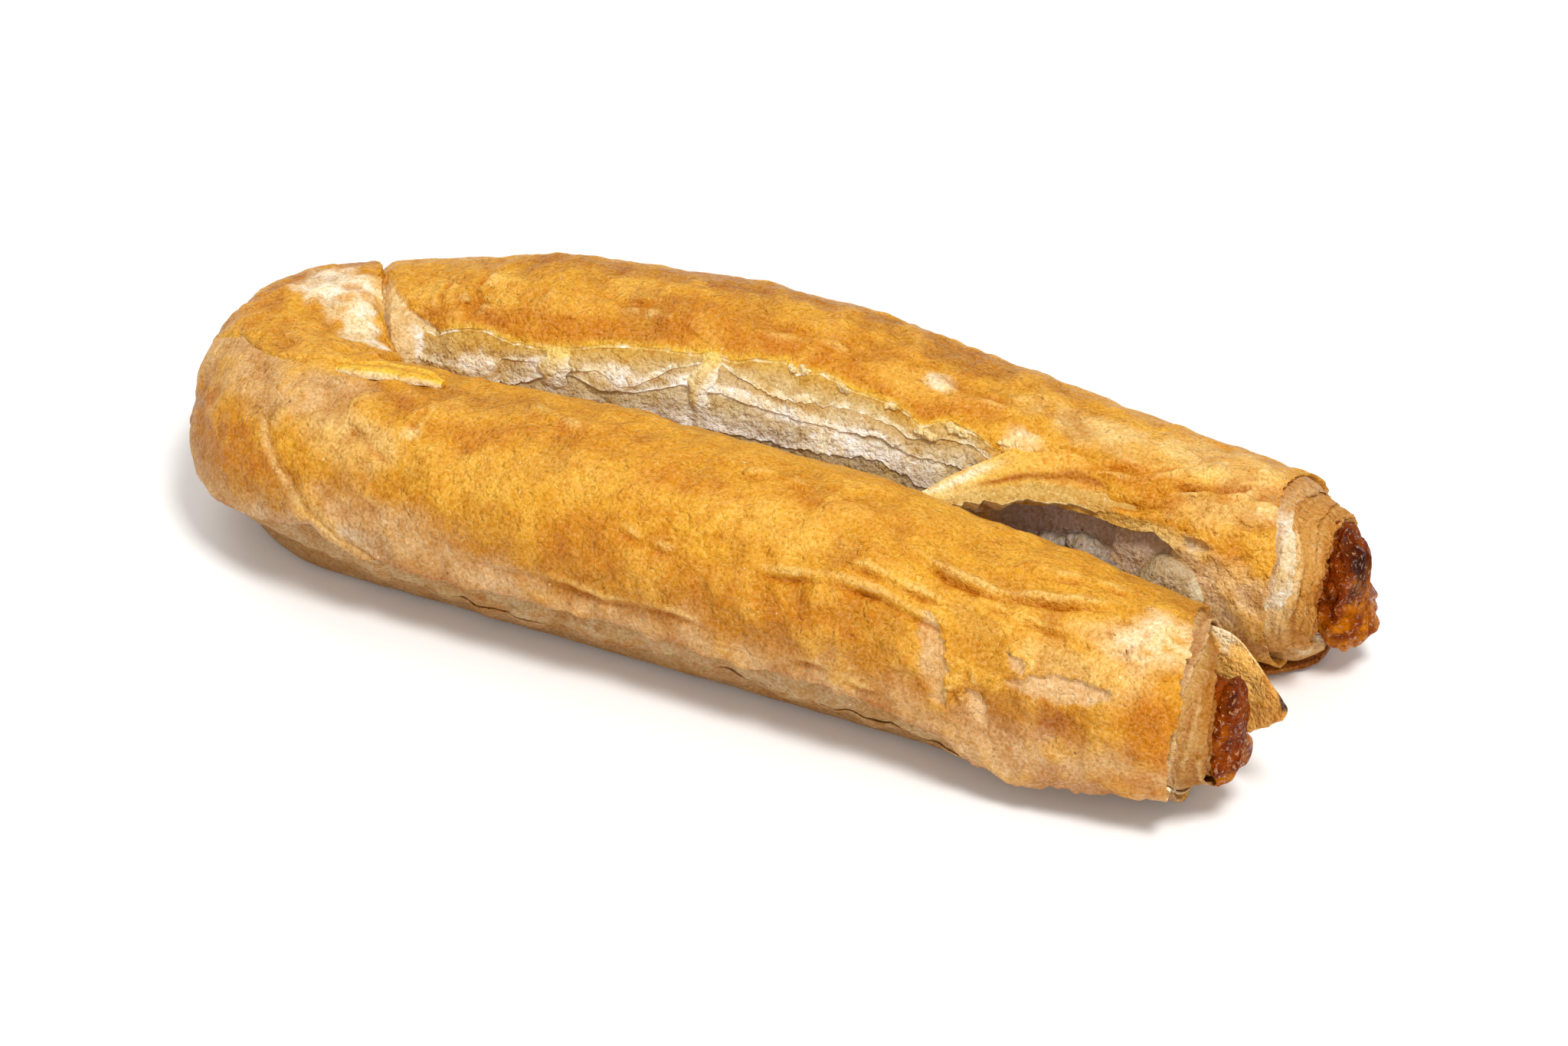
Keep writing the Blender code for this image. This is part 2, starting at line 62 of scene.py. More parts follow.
MM = 0.001

# The roll's centre line, in millimetres.
BEND_CENTRE = (-63.7, -3.0)
BEND_RADIUS = 19.5
NEAR_ARM = 153.0
BEND = math.pi * BEND_RADIUS

# The roll's section: along the roll, width, height, lift above the table, and how far
# the section's middle is moved to the outer side.
SECTIONS = (
    (-12, 32.5, 26.0, 2.6, 1.0),
    (0, 33.0, 26.8, 2.5, 1.0),
    (20, 36.4, 31.0, 0.4, 0.6),
    (34, 39.4, 33.6, 0.0, 0.1),
    (52, 41.0, 35.9, 0.0, -0.3),
    (83, 41.0, 36.4, 0.0, -0.5),
    (113, 41.0, 36.1, 0.0, -0.5),
    (134, 40.2, 35.0, 0.0, -0.3),
    (153, 39.5, 34.4, 0.0, 0.0),
    (168, 39.5, 34.0, 0.0, 0.2),
    (184, 39.3, 33.3, 0.0, 0.0),
    (200, 39.0, 32.3, 0.0, -0.3),
    (214, 39.0, 33.9, 0.0, -0.2),
    (234, 40.6, 37.2, 0.0, 2.0),
    (254, 42.2, 38.5, 0.0, 4.1),
    (284, 41.0, 38.0, 0.0, 5.8),
    (314, 38.0, 34.4, 0.0, 5.3),
    (344, 35.0, 31.6, 0.4, 3.0),
    (362, 33.8, 29.8, 1.8, 1.2),
    (370, 33.2, 28.2, 2.4, 0.4),
    (386, 32.8, 26.4, 2.5, 0.0),
)
BASE_FLAT = 0.045
SQUARENESS = 0.94
BEND_PINCH = 2.6
PINCH_EASE = 4.0
BEND_FILL = 0.2
BEND_FILL_SPAN = (150, 163, 184, 198)
BEND_FILL_ANGLES = (88, 150, 190, 236)
NEAR_RIM = 2.0
FAR_RIM = 369.8
NEAR_RIM_LINE = (
    (-120, 0.6), (0, 0.3), (40, 0.5), (80, 2.6), (110, 5.4), (180, 6.4), (225, 2.0), (240, 0.6),
)
FAR_RIM_LINE = (
    (-120, 369.2), (-30, 368.0), (30, 365.2), (60, 363.8), (90, 363.8), (112, 365.6),
    (135, 368.6), (240, 369.4),
)
DEGREE = 0.35  # mm round the roll for each degree of angle

# Swellings and hollows: along, angle, half length, half angle, height.
SWELLINGS = (
    (24, -30, 16, 26, 2.7),
    (48, 128, 10, 34, -1.5),
    (62, 100, 22, 26, 0.5),
    (104, 62, 26, 30, 0.6),
    (131, 88, 7, 22, -0.7),
    (168, -8, 8, 18, 1.0),
    (166, 30, 7, 24, -0.9),
    (180, -40, 30, 24, -3.1),
    (185, 44, 10, 22, 1.0),
    (200, 90, 10, 32, -1.2),
    (230, 72, 10, 32, 1.3),
    (262, 62, 14, 30, 0.5),
    (296, 84, 12, 24, -0.6),
    (318, 112, 9, 18, 0.8),
    (352, 118, 10, 16, 0.9),
)
LUMPS = ((34.0, 0.55), (13.0, 0.38))
WRINKLES = ((7.5, 0.62), (4.0, 0.60), (2.1, 0.26), (1.3, 0.10))
CALM_SIZE = 22.0  # mm across the places where the skin is smoother
BUMP_LIMIT = 0.9
BUMP_SINK = 0.25  # keeps the bumps' tops inside the CAD's box

# Torn edges on the far arm's inner side, from the outer skin down: along, angle.
SKIN_EDGE = (
    (203, 125), (208, 130), (212, 134), (217, 131), (222, 128), (228, 135), (236, 136),
    (244, 131), (250, 128), (257, 128), (263, 126), (270, 124), (277, 120), (280, 126),
    (284, 122), (290, 124), (298, 124), (304, 130), (307, 124), (311, 125), (319, 130),
    (338, 122), (356, 124),
)
FIRST_SHEET_EDGE = (
    (200, 145), (209, 150), (217, 152), (221, 151), (222, 145), (224.5, 152), (226, 144),
    (230, 144), (236, 145), (240, 147), (244, 145), (249, 151), (252, 149), (254, 144),
    (258, 137), (262, 132), (266, 130), (270, 134), (277, 140), (283, 139), (290, 134),
    (295, 134), (300, 137), (303, 140), (308, 134), (313, 132), (318, 135), (338, 131),
    (356, 133),
)
SECOND_SHEET_EDGE = (
    (210, 160), (228, 158), (236, 152), (240, 149), (245, 153), (250, 152), (256, 147),
    (260, 142), (265, 144), (272, 145), (277, 146), (284, 148), (290, 148), (297, 144),
    (300, 147), (305, 148), (310, 147), (314, 148), (318, 158), (321, 155), (327, 151),
    (331, 148), (344, 148), (348, 145), (351, 149), (354, 155),
)
THIRD_SHEET_EDGE = (
    (212, 168), (256, 164), (280, 163), (287, 162), (292, 160), (297, 156), (301, 158),
    (308, 164), (320, 168), (354, 170),
)
TORN_EDGES = (SKIN_EDGE, FIRST_SHEET_EDGE, SECOND_SHEET_EDGE, THIRD_SHEET_EDGE)
TORN_SPAN = (200, 207, 312, 320)
TORN_STEPS = (0.45, 0.45, 0.5, 0.4)
HOLLOW_SPAN = (317, 323, 349, 354)
HOLLOW_DEPTH = 2.9
CAVE_SPAN = (318, 324, 338.5, 340.5)  # the hollow's deeper part
CAVE_DEPTH = 1.7

# The edge of the dough sheet that is wound over the bend, the lower sheet's edge on the
# near arm, and the crack between the bend and the far arm: angle, along.
WRAP_EDGE = (
    (-120, 184), (-60, 186), (0, 184), (34, 178), (60, 175), (79, 167), (90, 163),
    (96, 160), (104, 156), (180, 152), (240, 184),
)
LOWER_EDGE = ((-60, 139), (-8, 139), (0, 147), (8, 152), (26, 156), (42, 159), (60, 162))
WRAP_STEP = 0.55
LOWER_STEP = 0.4
CRACK_LINE = (
    (-120, 192), (-60, 200), (60, 200), (84, 199), (105, 197), (125, 193.5), (140, 190),
    (180, 187), (240, 192),
)
PALE_END = (
    (60, 198), (74, 199.6), (96, 200.2), (105, 201), (114, 202.5), (120, 205), (125, 208),
    (132, 214), (140, 216),
)

# The filling: along the roll, width, height, offset outwards.
FILLING_SECTIONS = (
    (-13, 11.2, 16.0, 4.0),
    (0, 11.8, 16.6, 3.7),
    (30, 16.5, 19.5, 0.0),
    (187, 16.0, 19.0, 0.0),
    (345, 16.0, 19.5, 0.0),
    (370, 15.0, 19.5, 0.6),
    (388, 14.5, 19.5, 0.8),
)

# How the filling stands out of its ends: where the sleeve ends, where the filling ends, how
# much taller it swells, how far it sinks, and its reach at each height above the table.
NEAR_FILLING = (
    -3.5, -7.6, 1.28, 0.8,
    ((5, -4.6), (7, -0.8), (10, 0.6), (13, 0.9), (16, -0.9), (20, 0.2), (25, 0.6)),
)
FAR_FILLING = (
    372.9, 380.8, 1.14, 1.5,
    (
        (2, -4.6), (4, -1.8), (6, 0.3), (10, 0.7), (13, -0.5), (16, -2.2), (21, -1.0), (23, -1.8),
        (25, -4.6),
    ),
)

# Baking colours, named as a baker sees them.
TONES = {
    "gold": "DB9C27",
    "amber": "CA7C0E",
    "honey": "E9B045",
    "toast": "B07022",
    "brown": "A25C20",
    "burnt": "421C10",
    "straw": "F0CE8A",
    "cream": "FBEAC8",
    "beige": "D9AF7C",
    "grey": "C4AC90",
    "taupe": "9A8270",
    "yellow": "F2BC34",
    "olive": "D8BC82",
}


def smooth(low, high, value):
    """0 below low, 1 above high, and a smooth rise between them."""
    part = np.clip((value - low) / (high - low), 0, 1)
    return part * part * (3 - 2 * part)


def rise(low, high, value):
    """0 below low, 1 above high, and a straight rise between them."""
    return np.clip((value - low) / (high - low), 0, 1)


def span(ends, value):
    """1 between the two inner ends, fading to 0 at the outer ones."""
    return smooth(ends[0], ends[1], value) * (1 - smooth(ends[2], ends[3], value))


def hump(value, middle, width):
    """1 at the middle, fading to 0 on both sides of it."""
    return np.exp(-(((value - middle) / width) ** 2))


def unit(vectors):
    """The vectors at a length of 1."""
    return vectors / np.maximum(np.linalg.norm(vectors, axis=-1, keepdims=True), 1e-9)


def between(points, value):
    """Straight runs through (place, amount) points, held level past the ends."""
    places, amounts = zip(*points)
    return np.interp(value, places, amounts)


def station(table, along):
    """The table's columns at these places, on a smooth curve through its rows."""
    rows = np.array(table, float)
    last = len(rows) - 1
    i = np.clip(np.searchsorted(rows[:, 0], along, side="right") - 1, 0, last - 1)
    before = rows[np.maximum(i - 1, 0)]
    low = rows[i]
    high = rows[i + 1]
    after = rows[np.minimum(i + 2, last)]
    gap = high[..., :1] - low[..., :1]
    t = np.clip((along[..., None] - low[..., :1]) / gap, 0, 1)
    slope_low = (high - before) / (high[..., :1] - before[..., :1]) * gap
    slope_high = (after - low) / (after[..., :1] - low[..., :1]) * gap
    found = low * (2 * t**3 - 3 * t**2 + 1) + slope_low * (t**3 - 2 * t**2 + t)
    found += high * (3 * t**2 - 2 * t**3) + slope_high * (t**3 - t**2)
    return [found[..., k] for k in range(1, rows.shape[1])]


def centre(along):
    """Points of the roll's centre line in plan."""
    side = station(SECTIONS, along)[3]
    turn = np.clip((along - NEAR_ARM) / BEND_RADIUS, 0, math.pi)
    outward = np.stack([-np.sin(turn), -np.cos(turn)], -1)
    place = np.array(BEND_CENTRE) + outward * (BEND_RADIUS + side)[..., None]
    place[..., 0] += np.maximum(NEAR_ARM - along, 0)
    place[..., 0] += np.maximum(along - NEAR_ARM - BEND, 0)
    return place


def frame_at(along):
    """Points of the centre line, and the direction to the roll's outer side."""
    ahead = unit(centre(along + 0.5) - centre(along - 0.5))
    return centre(along), np.stack([-ahead[..., 1], ahead[..., 0]], -1)


def power(value, exponent):
    """The value's size raised to a power, with its sign kept."""
    return np.sign(value) * np.abs(value) ** exponent


def wrapped(angle):
    """The angle moved into -120 .. 240, where the tables above are read."""
    return (angle + 120) % 360 - 120


def plain_points(along, angle, scale=1.0):
    """The roll's plain form in millimetres, with nothing torn, swollen or uneven."""
    width, height, lift, _ = station(SECTIONS, along)
    place, outward = frame_at(along)
    turn = np.radians(angle)
    across = power(np.cos(turn), SQUARENESS)
    bent = rise(NEAR_ARM - PINCH_EASE, NEAR_ARM + BEND + PINCH_EASE, along)
    half = width / 2 - np.where(across < 0, BEND_PINCH * np.sin(math.pi * bent), 0)
    flat = place + outward * (half * across * scale)[..., None]
    up = (1 + power(np.sin(turn), SQUARENESS)) / 2
    up = (np.maximum(up, BASE_FLAT) - BASE_FLAT) / (1 - BASE_FLAT)
    fuller = span(BEND_FILL_SPAN, along) * span(BEND_FILL_ANGLES, wrapped(angle))
    up = up + 2 * BEND_FILL * fuller * (1 - up)
    up = 0.5 + (up - 0.5) * scale
    return np.stack([flat[..., 0], flat[..., 1], lift + up * height], -1)


def facing(along, angle):
    """The direction straight out of the roll."""
    outward = frame_at(along)[1]
    turn = np.radians(angle)[..., None]
    sides = outward * np.cos(turn)
    return np.concatenate([sides, np.sin(turn) * np.ones_like(sides[..., :1])], -1)


def sampled(points, size, measure):
    """A noise function's value at each point, for features of this size in millimetres."""
    flat = (points.reshape(-1, 3) / size).tolist()
    found = np.fromiter((measure(p) for p in flat), float, len(flat))
    return found.reshape(points.shape[:-1])


def unevenness(points, size):
    """Soft noise of this size in millimetres, from -1 to 1, at each point.

    Where a number is added to the points, it only keeps two such patterns apart.
    """
    return sampled(points, size, noise.noise)


def waves(points, rows):
    """Noise of several sizes laid together, from (size, amount) rows."""
    return sum(amount * unevenness(points, size) for size, amount in rows)


def blisters(points, size):
    """1 at the middle of each small round blister, 0 between them."""
    return 1 - smooth(0.0, 0.42, sampled(points, size, lambda p: noise.voronoi(p)[0][0]))


LINE_STEP = 0.1


def ragged_line(seed, waves, teeth, low=-130.0, high=400.0):
    """A torn line's offsets over a run of places, as two arrays to read between.

    waves and teeth are (size, amount) pairs. The teeth are pointed, and come in runs.
    """
    places = np.arange(low, high, LINE_STEP)

    def wave(size, shift=0.0):
        return unevenness(np.stack([places, places * 0 + seed + shift, places * 0], -1), size)

    offsets = sum(amount * wave(size) for size, amount in waves)
    torn_run = 0.25 + 0.75 * smooth(-0.15, 0.3, wave(5 * waves[0][0], 50.0))
    for size, amount in teeth:
        offsets += amount * torn_run * (0.45 - 2.2 * np.abs(wave(size)))
    return places, offsets


# Sizes in mm and amounts in degrees for edges that run along the roll.
TEAR = (((9.0, 1.6), (4.2, 1.8)), ((2.4, 2.0), (1.0, 1.4)))
CURL = (((16.0, 5.0), (5.0, 4.0)), ((3.2, 4.0), (1.3, 2.0)))
# Sizes in degrees and amounts in mm for edges that run round it.
RIM_TEAR = (((26.0, 0.6), (9.0, 0.5)), ((4.5, 0.5),))
TEARS = [ragged_line(7.0 + 31.0 * k, *TEAR) for k in range(len(TORN_EDGES))]


def torn_edge(number, along):
    """The angle of one torn edge on the far arm."""
    return between(TORN_EDGES[number], along) + np.interp(along, *TEARS[number])


def off_run(along, angle, start, end):
    """How far places are from a straight run, how much of it they have passed, and which side."""
    across = np.stack([along - start[0], (angle - start[1]) * DEGREE], -1)
    run = np.array([end[0] - start[0], (end[1] - start[1]) * DEGREE])
    part = np.clip(across @ run / (run @ run), 0, 1)
    away = np.linalg.norm(across - part[..., None] * run, axis=-1)
    turn = run[0] * across[..., 1] - run[1] * across[..., 0]
    return away, part, np.sign(turn * run[0])


CREASE_GAIN = 1.05
CREASE_FADE = 4  # a crease fades in over 1/4 of its length, and out again
CREASE_WAVES = 17  # its depth comes and goes along it
LIP_GAIN = 1.6


def crease(along, angle, path, depth, width, lip=0.5):
    """A crease along a path of (along, angle) points, with a low swelling beside it."""
    away = np.full(along.shape, 1e9)
    reach = np.zeros(along.shape)
    side = np.zeros(along.shape)
    for number, ends in enumerate(zip(path, path[1:])):
        here, part, turn = off_run(along, angle, *ends)
        nearer = here < away
        away = np.where(nearer, here, away)
        reach = np.where(nearer, (number + part) / (len(path) - 1), reach)
        side = np.where(nearer, turn, side)
    faded = np.clip(CREASE_FADE * reach, 0, 1) * np.clip(CREASE_FADE * (1 - reach), 0, 1)
    faded = faded * (0.75 + 0.35 * np.sin(CREASE_WAVES * reach + path[0][0]))
    beside = hump(away, 2.0 * width, 1.4 * width) * (side > 0)
    return CREASE_GAIN * depth * faded * (LIP_GAIN * lip * beside - hump(away, 0, width))


def creased(along, angle, creases):
    """The heights of a whole table of creases."""
    return sum(crease(along, angle, path, deep, width) for deep, width, *path in creases)


# Creases in the skin: depth and width in mm, then (along, angle) points.
NEAR_CREASES = (
    (1.0, 0.7, (74, 36), (66, 38), (58, 43), (50, 42.5), (44, 39), (36, 38)),
    (0.7, 0.6, (60, 52), (54, 53), (47, 50), (41, 50), (36, 46)),
    (1.1, 0.7, (52, 70), (46, 67), (40, 64), (33, 64), (26, 72), (18, 80), (9, 94)),
    (0.6, 0.6, (32, 86), (26, 88), (20, 95), (12, 99)),
    (0.5, 0.6, (139, 88), (137, 78), (138, 70), (136, 60)),
    (0.5, 0.8, (124, 94), (117, 88), (110, 83), (104, 88)),
    (0.5, 0.9, (150, 62), (145, 52), (138, 44), (134, 34)),
    (0.5, 0.7, (98, 42), (92, 36), (86, 34), (79, 37)),
    (0.6, 0.6, (120, 3), (108, 6), (96, 2), (84, 5), (74, 2)),
    (0.5, 0.5, (66, -2), (58, 1), (50, -4), (43, -6)),
    (0.5, 0.6, (36, 60), (30, 56), (22, 58), (14, 54)),
    (0.5, 0.6, (88, 92), (80, 84), (74, 88), (66, 84)),
    (0.6, 0.5, (34, 30), (33, 20), (35, 10), (32, 0)),
    (0.5, 0.5, (10, 84), (9, 72), (11, 60), (8, 48)),
    (0.5, 0.5, (14, 88), (13, 80), (15, 70), (13, 62)),
)
BEND_CREASES = (
    (0.35, 0.8, (192, 58), (186, 72), (182, 84), (176, 92)),
    (0.45, 0.6, (188, 84), (184, 96), (180, 106)),
    (0.3, 0.5, (178, 70), (172, 82), (168, 94)),
    (0.3, 0.6, (190, 100), (186, 112), (178, 120)),
)
FAR_CREASES = (
    (1.1, 0.9, (216, 82), (218, 92), (217, 102), (219, 112), (217, 126)),
    (0.6, 0.8, (209, 88), (211, 98), (210, 108), (212, 118)),
    (0.5, 0.8, (238, 98), (244, 104), (252, 102), (258, 108)),
    (0.5, 0.9, (266, 96), (274, 102), (284, 98), (292, 104)),
    (0.5, 0.8, (300, 94), (308, 102), (316, 100), (322, 106)),
    (0.4, 0.8, (232, 90), (230, 104), (227, 118)),
    (0.3, 0.8, (246, 84), (250, 100), (248, 116)),
    (-1.0, 2.4, (346, 112), (350, 104), (353, 97), (357, 90), (361, 84), (364, 76)),
    (1.0, 0.7, (346, 131), (348, 118), (352, 112), (358, 102), (360, 94)),
    (0.6, 0.6, (355, 108), (359, 104), (364, 103), (367, 104)),
    (0.9, 0.8, (325, 142), (331, 140), (338, 137), (344, 135), (349, 130), (352, 120)),
    (0.6, 0.7, (329, 126), (336, 118), (342, 114), (347, 103), (350, 93)),
    (-0.7, 1.6, (350, 152), (353, 150), (357, 151), (360, 148), (359, 144), (355, 142)),
    (0.5, 0.8, (362, 112), (366, 118), (364, 126), (366, 136)),
    (0.4, 0.6, (358, 118), (361, 124), (359, 134)),
)
EYE = (355.5, 145, 2.4, 3.2)  # a small open blister: along, angle, half length, half angle
EYE_DEPTH = 1.1
# Lens-shaped windows torn in the near arm's skin: (along, angle) ends, half width, depth.
WINDOWS = (
    ((42, 46), (36.5, 2), 2.3),
    ((27, 24), (10.5, 34), 2.4),
    ((28, 40), (24, 28), 1.2),
    ((33, 14), (29, -2), 1.0),
)
WINDOW_DEPTH = 0.75
WINDOW_RAGGED = ((2.4, 0.9), (1.1, 0.5))


def window_depth(along, angle, points):
    """How deep the torn windows are cut into the skin."""
    depth = np.zeros(along.shape)
    wobble = waves(points, WINDOW_RAGGED)
    for start, end, half in WINDOWS:
        away, part, _ = off_run(along, angle, start, end)
        lens = half * np.sqrt(np.clip(4 * part * (1 - part), 0, 1)) + wobble
        depth = np.maximum(depth, 1 - smooth(lens - 0.25, lens + 0.15, away))
    return WINDOW_DEPTH * depth


def plain_relief(along, angle, points):
    """The swellings and the overall unevenness that the CAD has too."""
    turned = wrapped(angle)
    height = np.zeros(along.shape)
    for middle, around, half_length, half_angle, amount in SWELLINGS:
        away = ((along - middle) / half_length) ** 2 + ((turned - around) / half_angle) ** 2
        height += amount * np.exp(-away)
    for size, amount in LUMPS:
        height += amount * unevenness(points, size)
    return height


def wrinkled(points):
    """The skin's bubbles and wrinkles, stronger in some places than in others."""
    calm = 0.55 + 0.65 * smooth(-0.35, 0.35, unevenness(points + 70, CALM_SIZE))
    bumps = calm * waves(points, WRINKLES)
    return BUMP_LIMIT * np.tanh(bumps / BUMP_LIMIT) - BUMP_SINK


def painted_relief_shading(tones, bumps):
    """Painted light on the bumps, as pale gold, and painted shade in the hollows between them, as
    brown.
    """
    raised = bumps + BUMP_SINK
    tones = blend(tones, "honey", 0.45 * smooth(0.0, 0.5, raised))
    return blend(tones, "toast", 0.4 * smooth(0.0, 0.5, -raised))


def painted_crease_shading(tones, furrows):
    """Painted shade in the creases, as deep orange-brown, and painted light on their raised sides, as
    pale gold.
    """
    tones = blend(tones, "C07008", 0.6 * smooth(0.05, 0.6, -furrows))
    return blend(tones, "F6D080", 0.4 * smooth(0.1, 0.5, furrows))


def off_table(angle):
    """1 where the surface is clear of the table, 0 underneath."""
    return 1 - smooth(-0.72, -0.9, np.sin(np.radians(angle)))


def lay_out(starts, ends, parts, knots, counts):
    """A grid over a stretch of the roll.

    It gives the places, the angles, the angles as wrapped() gives them, the points of the
    plain roll, the depths below the skin, and the number of the fold line before each.
    starts and ends give the stretch's two ends for an angle, and parts the rows between
    them. knots give the angle and depth of each fold line for places along the roll, and
    counts the columns from one fold line to the next.
    """
    columns = sum(counts)
    layer = np.repeat(np.arange(len(counts)), counts)
    within = np.concatenate([np.arange(n) / n for n in counts])
    rows = np.array(parts)[:, None] * np.ones(columns)
    angle = np.linspace(-60, 300, columns, endpoint=False) * np.ones_like(rows)
    for _ in range(4):
        first = starts(wrapped(angle))
        along = first + (ends(wrapped(angle)) - first) * rows
        lines = knots(along)
        low_angle = np.choose(layer, [line[0] for line in lines[:-1]])
        high_angle = np.choose(layer, [line[0] for line in lines[1:]])
        angle = low_angle + (high_angle - low_angle) * within
    low_depth = np.choose(layer, [line[1] for line in lines[:-1]])
    high_depth = np.choose(layer, [line[1] for line in lines[1:]])
    depth = low_depth + (high_depth - low_depth) * within
    turned = wrapped(angle)
    plain = plain_points(along, angle)
    return along, angle, turned, plain, depth, layer * np.ones_like(rows, int)


def steps(low, high, count):
    """Even steps from low, without high itself."""
    return [low + (high - low) * k / count for k in range(count)]


def colour(name):
    """A tone's linear colour, from its sRGB hex value."""
    code = TONES.get(name, name)
    parts = [int(code[k : k + 2], 16) / 255 for k in (0, 2, 4)]
    return np.array([p / 12.92 if p <= 0.04045 else ((p + 0.055) / 1.055) ** 2.4 for p in parts])


def blend(base, tone, weight):
    """Base colours moved towards a tone by a weight for each point."""
    return base + (colour(tone) - base) * np.clip(weight, 0, 1)[..., None]


def over(points, tone):
    """One tone over all the points."""
    return np.zeros(points.shape) + colour(tone)


def patch(along, angle, wobble, middle, around, half_length, half_angle, soft=0.5):
    """1 inside an uneven oval on the skin, fading to 0 outside it."""
    away = np.hypot((along - middle) / half_length, (angle - around) / half_angle)
    return 1 - smooth(1 - soft, 1 + soft, away + 0.45 * wobble)


def banded(points, angle, wobble, bands):
    """Gold dough, with a tone that comes in between two angles for each band."""
    tones = over(points, "gold")
    for tone, weight, low, high, wander in bands:
        tones = blend(tones, tone, weight * smooth(low, high, angle + wander * wobble))
    return tones


def patched(tones, along, angle, wobble, patches, soft):
    """Tones with each patch of baking laid over those before it."""
    for tone, weight, *place in patches:
        tones = blend(tones, tone, weight * patch(along, angle, wobble, *place, soft))
    return tones


BOX_EASE = 0.6


def inside_box(points):
    """Bumps near the sides of the CAD's box are pressed softly back inside it."""
    for axis in range(3):
        for sign, corner in ((-1, CAD_BOX[0]), (1, CAD_BOX[1])):
            if axis == 2 and sign == -1:
                continue
            start = sign * corner[axis] / MM - BOX_EASE
            over = np.maximum(sign * points[..., axis] - start, 0) / BOX_EASE
            points[..., axis] -= sign * BOX_EASE * (over - np.tanh(over))
    return points


def set_points(piece, points):
    """Puts a mesh's points at these places, in millimetres."""
    piece.data.vertices.foreach_set("co", (points * MM).astype(np.float32).ravel())


def finished(piece, name):
    """The piece named, without UV maps, and deselected."""
    piece.name = piece.data.name = name
    while piece.data.uv_layers:
        piece.data.uv_layers.remove(piece.data.uv_layers[0])
    piece.select_set(False)
    return piece


def grid_piece(name, points, tones, dry, sharp=55):
    """A mesh laid over a grid of points, closed round its columns and at its poles."""
    grid = [np.concatenate([part, part[:, :1]], 1) for part in (inside_box(points), tones, dry)]
    rows, columns = grid[0].shape[:2]
    bpy.ops.mesh.primitive_grid_add(x_subdivisions=columns - 1, y_subdivisions=rows - 1)
    piece = bpy.context.object
    set_points(piece, grid[0])
    paint(piece, *grid[1:])
    bpy.ops.object.mode_set(mode="EDIT")
    bpy.ops.mesh.select_all(action="SELECT")
    bpy.ops.mesh.remove_doubles(threshold=2e-6)
    bpy.ops.mesh.normals_make_consistent(inside=False)
    bpy.ops.object.mode_set(mode="OBJECT")
    bpy.ops.object.shade_smooth_by_angle(angle=math.radians(sharp))
    return finished(piece, name)


def paint(piece, tones, dry):
    """Stores the baking colour, and how dry and torn the dough is, on the points."""
    shades = piece.data.attributes.new("tone", "FLOAT_COLOR", "POINT")
    flat = np.concatenate([tones.reshape(-1, 3), np.ones((tones.size // 3, 1))], 1)
    shades.data.foreach_set("color", flat.astype(np.float32).ravel())
    dryness = piece.data.attributes.new("dry", "FLOAT", "POINT")
    dryness.data.foreach_set("value", dry.astype(np.float32).ravel())


def normals(points):
    """The directions straight out of a sheet's grid of points."""
    return unit(np.cross(np.gradient(points, axis=0), np.gradient(points, axis=1)))


def doubled(upper, lower):
    """Rows over a sheet's top and back underneath."""
    return np.concatenate([upper, lower[:, -2:0:-1]], 1)


def shell(points, thickness):
    """A sheet's grid of points made a closed wall."""
    half = normals(points) * (thickness * np.ones(points.shape[:2]))[..., None] / 2
    half[:, 0] = half[:, -1] = 0
    wall = doubled(points + half, points - half)
    return np.concatenate([doubled(points[:1], points[:1]), wall, doubled(points[-1:], points[-1:])])


def over_shell(values):
    """Values on a sheet's grid, repeated for the wall that shell makes of it."""
    wall = doubled(values, values)
    return np.concatenate([wall[:1], wall, wall[-1:]])


def sheet_piece(name, points, thickness, tones, dry):
    """A thin closed sheet of dough."""
    return grid_piece(name, shell(points, thickness), over_shell(tones), over_shell(dry))


def laid(along, angle, plain, height):
    """Points raised off the plain roll, and never under the table."""
    points = plain + facing(along, angle) * (height * off_table(angle))[..., None]
    points[..., 2] = np.maximum(points[..., 2], 0)
    return points


def surface(along, angle, lift=0.0):
    """Points that lie a little above or below the roll's uneven skin."""
    plain = plain_points(along, angle)
    height = plain_relief(along, angle, plain) * off_table(angle) + lift
    return plain + facing(along, angle) * height[..., None]


# The near arm.


def near_start(angle):
    return between(NEAR_RIM_LINE, angle)


def near_end(angle):
    return between(WRAP_EDGE, angle) + 5


FRONT_SKIRT = ragged_line(55.0, *CURL)
BACK_SKIRT = ragged_line(83.0, *CURL)
BASE_EDGE = ragged_line(37.0, ((18.0, 5.0), (6.0, 3.0)), ((2.4, 2.5),))
BASE_GAP = ragged_line(91.0, ((17.0, 1.6), (6.0, 0.8)), ((4.0, 0.1),))
SKIRT_FOLD = 4.0
UNDER_STEP = 1.3
FRONT_LINE = (
    (0, -30), (10, -33), (26, -30), (36, -17), (60, -10), (80, -13), (96, -9), (110, -11),
    (136, -12), (145, -6), (151, 0), (158, -8), (190, -30),
)


def front_skirt(along):
    """The angle at which the near arm's skin ends above the table, on the outer side."""
    return between(FRONT_LINE, along) + np.interp(along, *FRONT_SKIRT)


